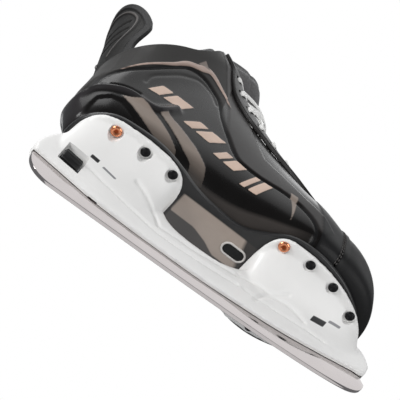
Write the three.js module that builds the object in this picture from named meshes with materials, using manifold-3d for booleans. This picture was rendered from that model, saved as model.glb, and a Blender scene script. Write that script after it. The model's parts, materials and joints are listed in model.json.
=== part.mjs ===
// A right-foot ice hockey skate: a composite boot riveted to a moulded blade holder,
// with a removable steel runner.
// Units are millimetres. +X points to the toe, +Y to the inner side of the foot, +Z up.
// The origin is the middle of the runner's flat, where it meets the ice.
import * as THREE from "three";
import { mergeVertices } from "three/addons/utils/BufferGeometryUtils.js";
import Module from "manifold-3d";

const wasm = await Module();
wasm.setup();

// ---- Driving dimensions ----
const CLEARANCE = 0.3; // between pieces that touch on the real skate

const BOOT_LENGTH = 261; // shell, heel to toe
const BOOT_HEIGHT = 190; // shell, sole to the top of the facings
const BOOT_WIDTH = 101; // shell, across the ball of the foot
const BOOT_PITCH = 3.58; // degrees, the heel stands higher than the toe
const SOLE_HEIGHT = 70.6; // underside of the outsole above the ice, at the origin
const OUTSOLE_THICKNESS = 3;
const SHELL_WALL = 3.2;
const LINER_GAP = 1.1; // room for the glue between shell and liner
const LINER_WALL = 5.5;
const FOOTBED_GAP = 2.6; // the footbed lifts out
const FOOTBED_THICKNESS = 4;
const TOE_REACH = 53; // toe cap, from its seam to its tip
const EYESTAY_WALL = 3.3;
const EYESTAY_SPAN = 17; // degrees of the boot's section that a facing covers
const FREE_EDGE = 25; // half of the gap between the two facings
const GUARD_HEIGHT = 95; // tendon guard above the back of the collar
const GUARD_WALL = 3.6;
const GUARD_PROUD = 0.6; // outside the shell
const GUARD_WRAP = 56; // degrees that the guard wraps to each side
const TONGUE_THICKNESS = 6;
const TONGUE_FORWARD = 38; // how far the middle stands forward at the collar
const TONGUE_SINK = 4.5; // middle of the tongue below the shell's line
const TONGUE_TUCK = 11.2; // depth of the tongue's sides inside the boot
const TONGUE_RISE = 33; // free end of the tongue above its fold

const EYELET_ROWS = 10;
const LACED_ROWS = 9; // the top row is left open
const EYELET_BORE = 2.5; // radius
const EYELET_RIM = 4.4; // radius
const EYELET_LIP = 0.8; // thickness of each rolled rim
const EYELET_SEAT = 0.6; // rim above the facing, which curves away under it
const LACE_RADIUS = 1.3;

const VENT_LENGTH = 17;
const VENT_WIDTH = 8;
const VENT_RIM = 1.6;
const VENT_X = 23;
const VENT_Y = -3;

const RUNNER_LENGTH = 290;
const RUNNER_THICKNESS = 3;
const RUNNER_SEAT = 7; // depth of steel inside the holder's slot
const RUNNER_FLAT = 24; // stretch of the steel that lies flat on the ice
const RAIL_WIDTH = 10;
const FLANGE_THICKNESS = 3.5;
const RIVET_HEAD = 4.7; // radius
const RIVET_SHANK = 2.2; // radius
const RIVET_ROOM = 0.8;

const DIAL_RADIUS = 8.2;
const DIAL_WIDTH = 15;
const DIAL_RIBS = 14;
const SCREW_RADIUS = 2.2;

// ---- Small helpers ----
const degrees = (angle) => (angle * Math.PI) / 180;
const mix = (from, to, share) => from + (to - from) * share;
const clamp01 = (value) => Math.min(1, Math.max(0, value));

function smooth(from, to, value) {
  const share = clamp01((value - from) / (to - from));
  return share * share * (3 - 2 * share);
}

function steps(from, to, count) {
  return Array.from({ length: count }, (_, i) => mix(from, to, i / (count - 1)));
}

function finish(color, roughness, metalness) {
  return new THREE.MeshStandardMaterial({ color, roughness, metalness });
}

// A closed three.js geometry as a manifold solid, turned to face out.
function solid(geometry) {
  const bare = geometry.index ? geometry.toNonIndexed() : geometry.clone();
  bare.deleteAttribute("normal");
  bare.deleteAttribute("uv");
  const merged = mergeVertices(bare, 1e-4);
  const position = merged.attributes.position;
  const corners = [new THREE.Vector3(), new THREE.Vector3(), new THREE.Vector3()];
  const kept = [];
  let volume = 0;
  for (let i = 0; i < merged.index.count; i += 3) {
    const triangle = [0, 1, 2].map((k) => merged.index.getX(i + k));
    if (new Set(triangle).size < 3) continue;
    corners.forEach((corner, k) => corner.fromBufferAttribute(position, triangle[k]));
    volume += corners[0].dot(corners[1].clone().cross(corners[2]));
    kept.push(...triangle);
  }
  if (volume < 0) kept.reverse();
  return new wasm.Manifold(
    new wasm.Mesh({
      numProp: 3,
      vertProperties: new Float32Array(position.array),
      triVerts: new Uint32Array(kept),
    }),
  );
}

function geometryOf(body) {
  const mesh = body.getMesh();
  const geometry = new THREE.BufferGeometry();
  geometry.setAttribute("position", new THREE.BufferAttribute(new Float32Array(mesh.vertProperties), 3));
  geometry.setIndex(new THREE.BufferAttribute(new Uint32Array(mesh.triVerts), 1));
  return geometry;
}

function piece(name, body, material) {
  const mesh = new THREE.Mesh(geometryOf(body), material);
  mesh.name = name;
  return mesh;
}

// Triangles collected as quads between points.
class Patchwork {
  constructor() {
    this.points = [];
  }
  triangle(a, b, c) {
    this.points.push(a, b, c);
  }
  quad(a, b, c, d) {
    this.triangle(a, b, c);
    this.triangle(a, c, d);
  }
  solid() {
    return solid(new THREE.BufferGeometry().setFromPoints(this.points));
  }
}

// A wall between two sheets of points, outer[i][j] and inner[i][j], closed round its rim.
function wall(outer, inner, loop = false) {
  const work = new Patchwork();
  const rows = outer.length;
  const columns = outer[0].length;
  const spans = loop ? columns : columns - 1;
  for (let i = 0; i + 1 < rows; i++) {
    for (let j = 0; j < spans; j++) {
      const k = (j + 1) % columns;
      work.quad(outer[i][j], outer[i][k], outer[i + 1][k], outer[i + 1][j]);
      work.quad(inner[i][k], inner[i][j], inner[i + 1][j], inner[i + 1][k]);
    }
    if (loop) continue;
    work.quad(outer[i][0], outer[i + 1][0], inner[i + 1][0], inner[i][0]);
    work.quad(outer[i + 1][spans], outer[i][spans], inner[i][spans], inner[i + 1][spans]);
  }
  for (let j = 0; j < spans; j++) {
    const k = (j + 1) % columns;
    work.quad(outer[0][k], outer[0][j], inner[0][j], inner[0][k]);
    work.quad(outer[rows - 1][j], outer[rows - 1][k], inner[rows - 1][k], inner[rows - 1][j]);
  }
  return work.solid();
}

// A solid through closed rings of points, with a fan over each end.
function loft(rings) {
  const work = new Patchwork();
  const count = rings[0].length;
  const middle = (ring) =>
    ring.reduce((sum, p) => sum.add(p), new THREE.Vector3()).divideScalar(count);
  const first = middle(rings[0]);
  const last = middle(rings[rings.length - 1]);
  for (let j = 0; j < count; j++) {
    const k = (j + 1) % count;
    for (let i = 0; i + 1 < rings.length; i++) {
      work.quad(rings[i][j], rings[i][k], rings[i + 1][k], rings[i + 1][j]);
    }
    work.triangle(rings[0][k], rings[0][j], first);
    work.triangle(rings[rings.length - 1][j], rings[rings.length - 1][k], last);
  }
  return work.solid();
}

// An outline in X and Z with its thickness along Y, centred on Y = 0.
function extrudeAcross(shape, width, curveSegments = 8) {
  const geometry = new THREE.ExtrudeGeometry(shape, { depth: width, bevelEnabled: false, curveSegments });
  geometry.rotateX(Math.PI / 2);
  geometry.translate(0, width / 2, 0);
  return solid(geometry);
}

// An outline in X and Y with its thickness along Z, from low to high.
function extrudeUp(shape, low, high, curveSegments = 8) {
  const options = { depth: high - low, bevelEnabled: false, curveSegments };
  return solid(new THREE.ExtrudeGeometry(shape, options).translate(0, 0, low));
}

function cylinderAlong(radius, from, to, sides = 12) {
  const axis = to.clone().sub(from);
  const geometry = new THREE.CylinderGeometry(radius, radius, axis.length(), sides);
  const turn = new THREE.Quaternion().setFromUnitVectors(
    new THREE.Vector3(0, 1, 0),
    axis.clone().normalize(),
  );
  geometry.applyQuaternion(turn);
  geometry.translate(...from.clone().add(to).multiplyScalar(0.5).toArray());
  return solid(geometry);
}

// A turned piece on its own axis, standing at a point with its axis along a direction.
function turned(profile, sides, at, axis) {
  const geometry = new THREE.LatheGeometry(
    profile.map(([radius, height]) => new THREE.Vector2(radius, height)),
    sides,
  );
  geometry.applyQuaternion(new THREE.Quaternion().setFromUnitVectors(new THREE.Vector3(0, 1, 0), axis));
  geometry.translate(at.x, at.y, at.z);
  return solid(geometry);
}

// A rounded outline in X and Y whose two ends are superellipses of their own length and power.
function ovalPoints({ x, back, front, half, backPower, frontPower }, count = 24) {
  return Array.from({ length: count }, (_, i) => {
    const angle = (i / count) * 2 * Math.PI;
    const c = Math.cos(angle);
    const power = c < 0 ? backPower : frontPower;
    const reach = c < 0 ? back : front;
    const along = Math.sign(c) * Math.abs(c) ** (2 / power) * reach;
    const across = Math.sign(Math.sin(angle)) * Math.abs(Math.sin(angle)) ** (2 / power) * half;
    return new THREE.Vector2(x + along, across);
  });
}

// ---- Materials ----
const shellBlack = finish(0x16161a, 0.25, 0);
const capBlack = finish(0x1b1b1d, 0.6, 0);
const linerGrey = finish(0x232326, 0.95, 0);
const padBlack = finish(0x19191b, 0.85, 0);
const facingGrey = finish(0x3a3a3e, 0.5, 0);
const soleTaupe = finish(0x58524c, 0.45, 0);
const ventGrey = finish(0xb9b6b2, 0.4, 0);
const holderWhite = finish(0xf2f3f5, 0.35, 0);
const steel = finish(0xc9ccd1, 0.12, 1);
const copper = finish(0xc07a4e, 0.3, 1);
const blackRivet = finish(0x1d1d20, 0.4, 1);
const lockBlack = finish(0x202226, 0.5, 0);
const laceWhite = finish(0xf0f0ee, 0.8, 0);

// ---- The boot's surface ----
// Each station is a plane through the boot, from a sole point to a crown point.
// Columns: sole x, sole z, crown x, crown z, outer half width, inner half width,
// height of the widest point as a share, power of the round towards the sole and the crown.
const DESIGN_LENGTH = 261;
const DESIGN_HEIGHT = 190;
const DESIGN_WIDTH = 101;
// What lies on the sole follows the boot's size.
const STRETCH = BOOT_LENGTH / DESIGN_LENGTH;
const SPREAD = BOOT_WIDTH / DESIGN_WIDTH;
const SOLE_TOP = OUTSOLE_THICKNESS + CLEARANCE;
const STATIONS = [
  [83, 0, 82, 62, 48.5, 45, 0.4, 5, 2.2],
  [60, 0, 65, 75, 50.5, 47, 0.38, 5, 2.2],
  [33, 0, 53, 92, 46, 44, 0.38, 4, 2.3],
  [5, 0, 43, 109, 41, 40, 0.4, 3, 2.4],
  [-25, 0, 33, 124, 38, 38, 0.43, 3, 2.4],
  [-57, 0, 25, 136, 37, 37, 0.45, 3.8, 2.4],
  [-92, 0, 17, 146, 37, 37, 0.46, 3.8, 2.4],
  [-116, 5, 9.5, 156, 37, 37, 0.47, 2.8, 2.4],
  [-125, 23, 3, 164, 37, 37, 0.47, 2.3, 2.4],
  [-125, 47, -3, 171, 38, 38, 0.46, 2.2, 2.4],
  [-119.5, 77, -8, 177, 39, 39, 0.45, 2.1, 2.4],
  [-115, 105, -13, 183, 40, 40, 0.45, 2.1, 2.4],
  [-115, 124, -24, 194, 40, 40, 0.45, 2.1, 2.4],
  [-115, 143, -35, 205, 39, 39, 0.45, 2.1, 2.4],
];
const COLLAR = 10.85; // station of the collar's rim at the back
const EAR = 11.85; // station of the rim at the facings

// Catmull-Rom through the stations, one column at a time.
function column(t, index) {
  const last = STATIONS.length - 1;
  const low = Math.min(last - 1, Math.max(0, Math.floor(t)));
  const share = t - low;
  const at = (i) => STATIONS[Math.min(last, Math.max(0, i))][index];
  const [a, b, c, d] = [at(low - 1), at(low), at(low + 1), at(low + 2)];
  const bend = 2 * a - 5 * b + 4 * c - d + (3 * b - 3 * c + d - a) * share;
  return b + 0.5 * share * (c - a + share * bend);
}

// The section at t: 0 is the toe cap's seam, -1 the tip of the toe, and COLLAR the rim.
function section(t) {
  const rise = BOOT_HEIGHT / DESIGN_HEIGHT;
  const at = Array.from({ length: 9 }, (_, index) => column(Math.max(0, t), index));
  const cut = {
    sole: new THREE.Vector2(at[0] * STRETCH, SOLE_TOP + Math.max(0, at[1]) * rise),
    crown: new THREE.Vector2(at[2] * STRETCH, SOLE_TOP + at[3] * rise),
    outer: at[4] * SPREAD,
    inner: at[5] * SPREAD,
    widest: at[6],
    solePower: at[7],
    crownPower: at[8],
  };
  if (t >= 0) return cut;
  const turn = Math.min(1, -t) * (Math.PI / 2);
  const height = cut.crown.y - cut.sole.y;
  const fade = Math.max(0, Math.cos(turn));
  cut.sole.x += TOE_REACH * Math.sin(turn);
  cut.crown.x += TOE_REACH * Math.sin(turn);
  cut.sole.y += height * 0.12 * (1 - fade);
  cut.crown.y = SOLE_TOP + height * (0.4 + 0.6 * fade);
  cut.outer *= fade ** 0.85;
  cut.inner *= fade ** 0.85;
  return cut;
}

// A point on the boot. The angle is 0 at the crown and PI at the sole, and the inner side is positive.
// The inset is measured inwards from the outer face.
function bootPoint(t, angle, inset = 0) {
  const cut = section(t);
  const way = cut.crown.clone().sub(cut.sole);
  const length = way.length();
  way.divideScalar(length);
  const c = Math.cos(angle);
  const power = c < 0 ? cut.solePower : cut.crownPower;
  const depth = (c < 0 ? cut.widest : 1 - cut.widest) * length - inset;
  const along = cut.widest * length + Math.sign(c) * Math.abs(c) ** (2 / power) * Math.max(0, depth);
  const half = Math.max(0, (Math.sin(angle) > 0 ? cut.inner : cut.outer) - inset);
  const across = Math.sign(Math.sin(angle)) * Math.abs(Math.sin(angle)) ** (2 / power) * half;
  return new THREE.Vector3(cut.sole.x + way.x * along, across, cut.sole.y + way.y * along);
}

function bootNormal(t, angle, inset = 0) {
  const along = bootPoint(t + 0.02, angle, inset).sub(bootPoint(t - 0.02, angle, inset));
  const round = bootPoint(t, angle + 0.01, inset).sub(bootPoint(t, angle - 0.01, inset));
  const normal = along.cross(round).normalize();
  const outward = bootPoint(t, angle, inset).sub(bootPoint(t, angle, inset + 2));
  return normal.dot(outward) < 0 ? normal.negate() : normal;
}

// The angle on one side at which the section is a given distance from the middle.
function angleAt(t, across, side) {
  const cut = section(t);
  const half = side > 0 ? cut.inner : cut.outer;
  return Math.asin(clamp01(across / half) ** (cut.crownPower / 2));
}

const freeAngle = (t, side) => angleAt(t, FREE_EDGE, side);
const seamAngle = (t, side) => freeAngle(t, side) + degrees(EYESTAY_SPAN);

// How high the rim stands at an angle: it dips behind the facings.
function rimStation(angle, seam) {
  const off = Math.min(angle, 2 * Math.PI - angle);
  return mix(EAR, COLLAR, smooth(seam, seam + degrees(40), off));
}

// ---- Boot pieces ----
function sheet(rows, columns, from, to, inset, gap = 0, above = 0) {
  return steps(0, 1, rows).map((row) =>
    steps(0, 1, columns).map((share) => {
      const guess = mix(from, to, row);
      const ends = [seamAngle(guess, 1) + gap, 2 * Math.PI - seamAngle(guess, -1) - gap];
      const angle = mix(ends[0], ends[1], share);
      const top = to + rimStation(angle, ends[0]) - EAR + above;
      return bootPoint(mix(from, top, row), angle, inset);
    }),
  );
}

function makeQuarterShell() {
  const outer = sheet(18, 21, 0, EAR, 0);
  const inner = sheet(18, 21, 0, EAR, SHELL_WALL);
  return wall(outer, inner);
}

function makeLiner() {
  const inset = SHELL_WALL + LINER_GAP;
  const outer = sheet(15, 17, 0.08, EAR, inset, 0.03, 0.35);
  const inner = sheet(15, 17, 0.08, EAR, inset + LINER_WALL, 0.03, 0.35);
  return wall(outer, inner);
}

function makeToeCap() {
  const rows = steps(-0.02, -1, 8);
  const angles = steps(0, 2 * Math.PI, 23).slice(0, -1);
  const outer = rows.map((t) => angles.map((angle) => bootPoint(t, angle, 0)));
  const body = loft(outer);
  const hollow = rows.map((t) => angles.map((angle) => bootPoint(t, angle, SHELL_WALL)));
  hollow.pop();
  hollow.unshift(angles.map((angle) => bootPoint(0.05, angle, SHELL_WALL)));
  return body.subtract(loft(hollow));
}

// The whole inside of the boot at an inset, as one solid.
function bootCore(inset) {
  const angles = steps(0, 2 * Math.PI, 25).slice(0, -1);
  const rows = [-0.85, -0.6, -0.3, 0, 1, 2, 3, 4, 5, 6, 7, 8];
  return loft(rows.map((t) => angles.map((angle) => bootPoint(t, angle, inset))));
}

function makeFootbed() {
  const inset = SHELL_WALL + LINER_GAP + LINER_WALL + FOOTBED_GAP;
  const top = SOLE_TOP + inset + FOOTBED_THICKNESS;
  const slab = new THREE.BoxGeometry(2 * BOOT_LENGTH, 2 * BOOT_WIDTH, top);
  return bootCore(inset).intersect(solid(slab.translate(0, 0, top / 2)));
}

function outsoleShape() {
  const half = [
    [-119, 19],
    [-105, 31.5],
    [-84, 35.5],
    [-60, 35],
    [-44, 31],
    [-27, 25.5],
    [-6, 22.5],
    [16, 23],
    [32, 31],
    [46, 40],
    [66, 43],
    [88, 39.5],
    [108, 31],
    [122, 20],
    [130, 9],
  ];
  const outline = [[-123.5, 0], ...half, [132.5, 0], ...half.map(([x, y]) => [x, -y]).reverse()];
  const curve = new THREE.SplineCurve([]);
  curve.points = [...outline, outline[0]].map(([x, y]) => new THREE.Vector2(x * STRETCH, y * SPREAD));
  return new THREE.Shape(curve.getPoints(outline.length * 2).slice(0, -1));
}

function slotShape(length, width) {
  const shape = new THREE.Shape();
  const reach = (length - width) / 2;
  shape.absarc(reach, 0, width / 2, -Math.PI / 2, Math.PI / 2, false);
  shape.absarc(-reach, 0, width / 2, Math.PI / 2, (3 * Math.PI) / 2, false);
  return shape;
}

// The vent's outline grown by a margin, as a solid between two heights.
function ventSlot(margin, low, high) {
  const shape = slotShape(VENT_LENGTH + 2 * margin, VENT_WIDTH + 2 * margin);
  return extrudeUp(shape, low, high, 6).translate([VENT_X, VENT_Y, 0]);
}

function makeVentRing() {
  return ventSlot(VENT_RIM, -0.8, OUTSOLE_THICKNESS - 0.2).subtract(ventSlot(0, -2, SOLE_TOP));
}

// Rivet places under the boot: three a side in the heel and four a side in the front.
const HEEL_RIVETS = [
  [-97.5, 25.4],
  [-72.5, 26.2],
  [-47.5, 25],
];
const FRONT_RIVETS = [
  [45.5, 33],
  [68.5, 34.2],
  [91.5, 31],
  [115, 21],
];
const rivetPlaces = [];
[
  ["rear", HEEL_RIVETS],
  ["front", FRONT_RIVETS],
].forEach(([zone, places]) => {
  places.forEach(([x, y], index) => {
    for (const side of [-1, 1]) {
      const name = `rivet_${zone}_${side < 0 ? "outer" : "inner"}_${index + 1}`;
      rivetPlaces.push({ name, x: x * STRETCH, y: side * y * SPREAD, bright: index === 0 });
    }
  });
});

// Room round each rivet's head, where the towers flare past it.
function rivetRecesses() {
  const recesses = rivetPlaces.map(({ x, y }) =>
    cylinderAlong(
      RIVET_HEAD + RIVET_ROOM,
      new THREE.Vector3(x, y, -FLANGE_THICKNESS - 16),
      new THREE.Vector3(x, y, -FLANGE_THICKNESS - CLEARANCE),
      10,
    ),
  );
  return recesses.reduce((all, recess) => all.add(recess));
}

const RIVET_TOP = SOLE_TOP + SHELL_WALL * 0.8;

function rivetBores() {
  const bores = rivetPlaces.map(({ x, y }) =>
    cylinderAlong(
      RIVET_SHANK + CLEARANCE,
      new THREE.Vector3(x, y, -12),
      new THREE.Vector3(x, y, RIVET_TOP + CLEARANCE + 2.5),
      8,
    ),
  );
  return bores.reduce((all, bore) => all.add(bore));
}

function makeRivet(x, y) {
  const under = -FLANGE_THICKNESS - 2 * CLEARANCE;
  const profile = [
    [0, under - 0.8],
    [RIVET_HEAD * 0.6, under - 1.7],
    [RIVET_HEAD, under - 0.6],
    [RIVET_HEAD, under],
    [RIVET_SHANK, under],
    [RIVET_SHANK, RIVET_TOP],
    [0, RIVET_TOP],
  ];
  return turned(profile, 10, new THREE.Vector3(x, y, 0), new THREE.Vector3(0, 0, 1));
}

// ---- Facings, eyelets and lace ----
// Stations of the eyelet rows, evenly spaced along the facing.
function rowStations() {
  const first = 0.75;
  const last = EAR - 0.42;
  const fine = steps(first, last, 200);
  const lengths = [0];
  const at = (t) => bootPoint(t, (freeAngle(t, -1) + seamAngle(t, -1)) / 2);
  fine.slice(1).forEach((t, i) => lengths.push(lengths[i] + at(t).distanceTo(at(fine[i]))));
  const total = lengths[lengths.length - 1];
  return steps(0, total, EYELET_ROWS).map((want) => fine[lengths.findIndex((l) => l >= want - 1e-6)]);
}
const ROWS = rowStations();

function eyelet(row, side) {
  const t = ROWS[row];
  const angle = (freeAngle(t, side) + seamAngle(t, side)) / 2;
  const axis = bootNormal(t, side * angle, EYESTAY_WALL / 2);
  return { t, angle, axis, at: bootPoint(t, side * angle, EYESTAY_WALL / 2) };
}

function makeEyestay(side) {
  const rows = steps(0.02, EAR - 0.03, 19);
  const shares = [0, 0.5, 1];
  const sheetAt = (inset) =>
    rows.map((t) =>
      shares.map((share) => {
        const low = freeAngle(t, side);
        const high = seamAngle(t, side) - 0.012;
        return bootPoint(t, side * mix(low, high, share), inset);
      }),
    );
  let body = wall(sheetAt(0), sheetAt(EYESTAY_WALL));
  for (let row = 0; row < EYELET_ROWS; row++) {
    const { at, axis } = eyelet(row, side);
    const reach = axis.clone().multiplyScalar(EYESTAY_WALL + 3);
    const bore = cylinderAlong(EYELET_BORE + 0.9, at.clone().sub(reach), at.clone().add(reach), 8);
    body = body.subtract(bore);
  }
  return body;
}

function makeEyelet(row, side) {
  const { at, axis } = eyelet(row, side);
  const half = EYESTAY_WALL / 2 + EYELET_SEAT;
  const tube = EYELET_BORE + 0.6;
  const profile = [
    [EYELET_BORE, -half - EYELET_LIP],
    [EYELET_RIM, -half],
    [tube, -half],
    [tube, half],
    [EYELET_RIM, half],
    [EYELET_BORE, half + EYELET_LIP],
    [EYELET_BORE, -half - EYELET_LIP],
  ];
  return turned(profile, 8, at, axis);
}

// A point on the tongue's outer face: share 0 is its middle, 1 the facing's free edge on the inner side.
// Its sides are tucked in under the facings, and at the ankle its middle stands forward.
function tonguePoint(t, share, inset) {
  const side = share < 0 ? -1 : 1;
  const tuck = Math.min(1, Math.abs(share)) ** 2.2;
  const point = bootPoint(t, freeAngle(t, side) * share, mix(TONGUE_SINK, TONGUE_TUCK, tuck) + inset);
  point.x += TONGUE_FORWARD * smooth(4.5, 12, t) * (1 - tuck);
  return point;
}

// A point over the gap between the facings: share 0 is the middle, 1 the free edge.
function gapPoint(t, side, share, lift) {
  const angle = freeAngle(t, side) * share;
  return bootPoint(t, side * angle, lift);
}

// Points of a lace that lies in straight pieces between them.
class Route extends THREE.Curve {
  constructor(points) {
    super();
    this.points = points;
  }
  getPoint(u, target = new THREE.Vector3()) {
    const place = u * (this.points.length - 1);
    const low = Math.min(this.points.length - 2, Math.floor(place));
    return target.lerpVectors(this.points[low], this.points[low + 1], place - low);
  }
  getPointAt(u, target) {
    return this.getPoint(u, target);
  }
  getTangentAt(u) {
    const place = Math.round(u * (this.points.length - 1));
    const before = this.points[Math.max(0, place - 1)];
    const after = this.points[Math.min(this.points.length - 1, place + 1)];
    return after.clone().sub(before).normalize();
  }
  getTangent(u) {
    return this.getTangentAt(u);
  }
}

// Shares of the gap where the lace bends as it crosses, from the facing it leaves to the one it enters.
const LACE_SHARES = [1, 0.8, 0.5, 0.22, 0, -0.22, -0.5, -0.8, -1];
const LACE_FLOAT = 1.9; // above the tongue
const LACE_HUMP = 3.5; // more where it comes over the facing's edge
const LACE_UNDER = 6.6; // depth under the facing's edge

// Each half of the lace climbs from row to row: up through an eyelet, over the tongue,
// under the other facing's edge and up through the next eyelet there.
function climb(startSide, high) {
  const points = [];
  const gap = EYESTAY_WALL / 2 + EYELET_SEAT + EYELET_LIP + LACE_RADIUS + CLEARANCE;
  let side = startSide;
  for (let row = 0; row < LACED_ROWS; row++) {
    const { at, axis, t } = eyelet(row, side);
    points.push(at.clone().addScaledVector(axis, -gap), at.clone().addScaledVector(axis, gap));
    const next = row + 1 < EYELET_ROWS ? ROWS[row + 1] : t + 0.8;
    const over = row % 2 === (high ? 0 : 1);
    for (const share of LACE_SHARES) {
      const way = mix(t, next, (1 - share) / 2);
      const float = LACE_RADIUS + LACE_FLOAT;
      const raise = share === 0 && over ? 2 * LACE_RADIUS + 0.7 : 0;
      const hump = share === 0.8 ? LACE_HUMP * (1 - smooth(4.5, 9, way)) : 0;
      if (share === 1) points.push(gapPoint(way, side, 1, -LACE_RADIUS - 2.1));
      else if (share === -1) points.push(gapPoint(way, -side, 1, LACE_UNDER));
      else points.push(tonguePoint(way, side * share, -float - raise - hump));
    }
    side = -side;
  }
  return points;
}

function lacePoints() {
  const first = climb(1, true);
  const second = climb(-1, false);
  const bar = [1, 0.5, 0, -0.5, -1].map((share) =>
    Math.abs(share) === 1
      ? gapPoint(ROWS[0] - 0.15, share, 1, LACE_UNDER)
      : tonguePoint(ROWS[0] - 0.15, share, -LACE_RADIUS - LACE_FLOAT),
  );
  return [...first.reverse(), ...bar, ...second];
}

function makeLace() {
  const points = lacePoints();
  const ring = new THREE.Shape();
  ring.absarc(0, 0, LACE_RADIUS, 0, 2 * Math.PI, false);
  const geometry = new THREE.ExtrudeGeometry(ring, {
    steps: points.length - 1,
    curveSegments: 4,
    bevelEnabled: false,
    extrudePath: new Route(points),
  });
  return solid(geometry);
}

// ---- Tongue ----
const TONGUE_FOLD = 11.6; // station where the free end begins
const TOP_SPREAD = 1.25;
const TONGUE_SPREAD = 1.7; // half width, in shares of the free edge's angle

function tongueRow(t, inset, spread = TONGUE_SPREAD) {
  return steps(-spread, spread, 15).map((share) => tonguePoint(t, share, inset));
}

function makeTongue() {
  const rows = steps(0.1, TONGUE_FOLD, 14);
  return wall(
    rows.map((t) => tongueRow(t, 0)),
    rows.map((t) => tongueRow(t, TONGUE_THICKNESS)),
  );
}

function makeTongueTop() {
  const start = TONGUE_FOLD + 0.06;
  const lift = (inset) =>
    steps(0, 1, 7).map((rise) =>
      tongueRow(start, inset, TOP_SPREAD).map((point, i, row) => {
        const off = Math.abs(i / (row.length - 1) - 0.5) * 2;
        const up = TONGUE_RISE * rise * (1 - 0.75 * off ** 3);
        return new THREE.Vector3(point.x - 0.1 * up * rise, point.y * mix(1, 1.25, rise), point.z + up);
      }),
    );
  return wall(lift(0), lift(TONGUE_THICKNESS));
}

// ---- Tendon guard ----
function guardSheet(inset) {
  const tip = bootPoint(COLLAR, Math.PI).z + GUARD_HEIGHT;
  return steps(0, 1, 10).map((rise) => {
    const wrap = degrees(GUARD_WRAP) * mix(0.64, 1, smooth(0, 0.45, rise)) * (1 - rise ** 3) ** 0.5;
    return steps(-1, 1, 13).map((share) => {
      const base = bootPoint(COLLAR + 0.03, Math.PI + share * wrap, inset);
      const back = bootPoint(COLLAR + 0.03, Math.PI, 0);
      const round = mix(1, 0.8, rise);
      return new THREE.Vector3(
        back.x + (base.x - back.x) * round,
        base.y * round,
        mix(base.z, tip, rise),
      );
    });
  });
}

function makeGuard() {
  return wall(guardSheet(-GUARD_PROUD), guardSheet(GUARD_WALL - GUARD_PROUD));
}

// ---- Holder ----
const pitch = degrees(BOOT_PITCH);
const soleAt = (x) => SOLE_HEIGHT - Math.tan(pitch) * x;

const REAR_FLANGE = {
  x: -77,
  back: 43.5,
  front: 43.5,
  half: 34.2 * SPREAD,
  backPower: 3.2,
  frontPower: 3.2,
};
const FRONT_FLANGE = {
  x: 60,
  back: 26,
  front: 74,
  half: 40.2 * SPREAD,
  backPower: 3.5,
  frontPower: 1.9,
};
const REAR_FOOT = { x: -96, back: 44, front: 46, half: 5.4, backPower: 2.6, frontPower: 2.2 };
const FRONT_FOOT = { x: 90, back: 52, front: 52, half: 5.4, backPower: 2.2, frontPower: 2.6 };
// The towers are hollow, and the boot's sole covers the hollows.
const REAR_CORE = { x: -78, back: 33, front: 34, half: 17, backPower: 2.6, frontPower: 2.6 };
const FRONT_CORE = { x: 66, back: 24, front: 50, half: 22, backPower: 2.6, frontPower: 2 };
const REAR_CORE_FOOT = { x: -92, back: 26, front: 32, half: 1.9, backPower: 2.4, frontPower: 2.4 };
const FRONT_CORE_FOOT = { x: 88, back: 36, front: 34, half: 1.9, backPower: 2.4, frontPower: 2.4 };
const CORE_START = 0.4; // share of the tower's height that stays solid
const REAR_FOOT_Z = 26;
const FRONT_FOOT_Z = 31;

// A tower flares from a narrow foot to its flange.
function makeTower(foot, footZ, flange, above = -0.2, from = 0) {
  const rise = [0, 0.2, 0.4, 0.58, 0.74, 0.87, 1].filter((share) => share >= from);
  const low = ovalPoints(foot);
  const high = ovalPoints(flange);
  return loft(
    rise.map((share) =>
      low.map((point, i) => {
        const x = mix(point.x, high[i].x, share ** 0.9);
        const y = mix(point.y, high[i].y, share ** 2.6);
        return new THREE.Vector3(x, y, mix(footZ, soleAt(x) - CLEARANCE + above, share));
      }),
    ),
  );
}

// A solid made in the boot's own frame, as it stands on the holder.
function bootFrame(body) {
  return body.rotate([0, BOOT_PITCH, 0]).translate([0, 0, SOLE_HEIGHT]);
}

function makeFlange(oval) {
  const outline = new THREE.Shape(ovalPoints(oval, 32));
  return bootFrame(extrudeUp(outline, -FLANGE_THICKNESS - CLEARANCE, -CLEARANCE));
}

const HALF_RUNNER = RUNNER_LENGTH / 2;
// Lower edge of the holder, where the steel comes out.
const railLine = new THREE.SplineCurve(
  [
    [-0.99, 26.6],
    [-0.83, 21.6],
    [-0.65, 16],
    [-0.45, 13.4],
    [-0.2, 12.2],
    [0, 12],
    [0.24, 14.2],
    [0.48, 17.4],
    [0.72, 24],
    [0.99, 33.2],
  ].map(([share, z]) => new THREE.Vector2(share * HALF_RUNNER, z)),
);
const railPoints = (count) => railLine.getPoints(count);

function makeRail() {
  const shape = new THREE.Shape(railPoints(24));
  shape.lineTo(HALF_RUNNER + 1, 43);
  shape.quadraticCurveTo(HALF_RUNNER - 3, 60, 133, soleAt(133) - 4);
  shape.lineTo(40, soleAt(40) - 4);
  shape.quadraticCurveTo(32, 50, 12, 43.5);
  shape.quadraticCurveTo(-8, 40.5, -26, 44.5);
  shape.quadraticCurveTo(-40, 49, -42, soleAt(-42) - 4);
  shape.lineTo(-118, soleAt(-118) - 4);
  shape.quadraticCurveTo(-HALF_RUNNER + 8, 56, -HALF_RUNNER + 1, 33);
  return extrudeAcross(shape, RAIL_WIDTH, 6);
}

// Slot for the steel, RUNNER_SEAT deep above the holder's lower edge.
function steelBand(above, below) {
  const line = railPoints(24);
  const top = line.map((p) => new THREE.Vector2(p.x, p.y + above)).reverse();
  return [...line.map((p) => new THREE.Vector2(p.x, p.y - below)), ...top];
}

function makeSlot() {
  const shape = new THREE.Shape(steelBand(RUNNER_SEAT + 2 * CLEARANCE, 8));
  return extrudeAcross(shape, RUNNER_THICKNESS + 2 * CLEARANCE);
}

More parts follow.
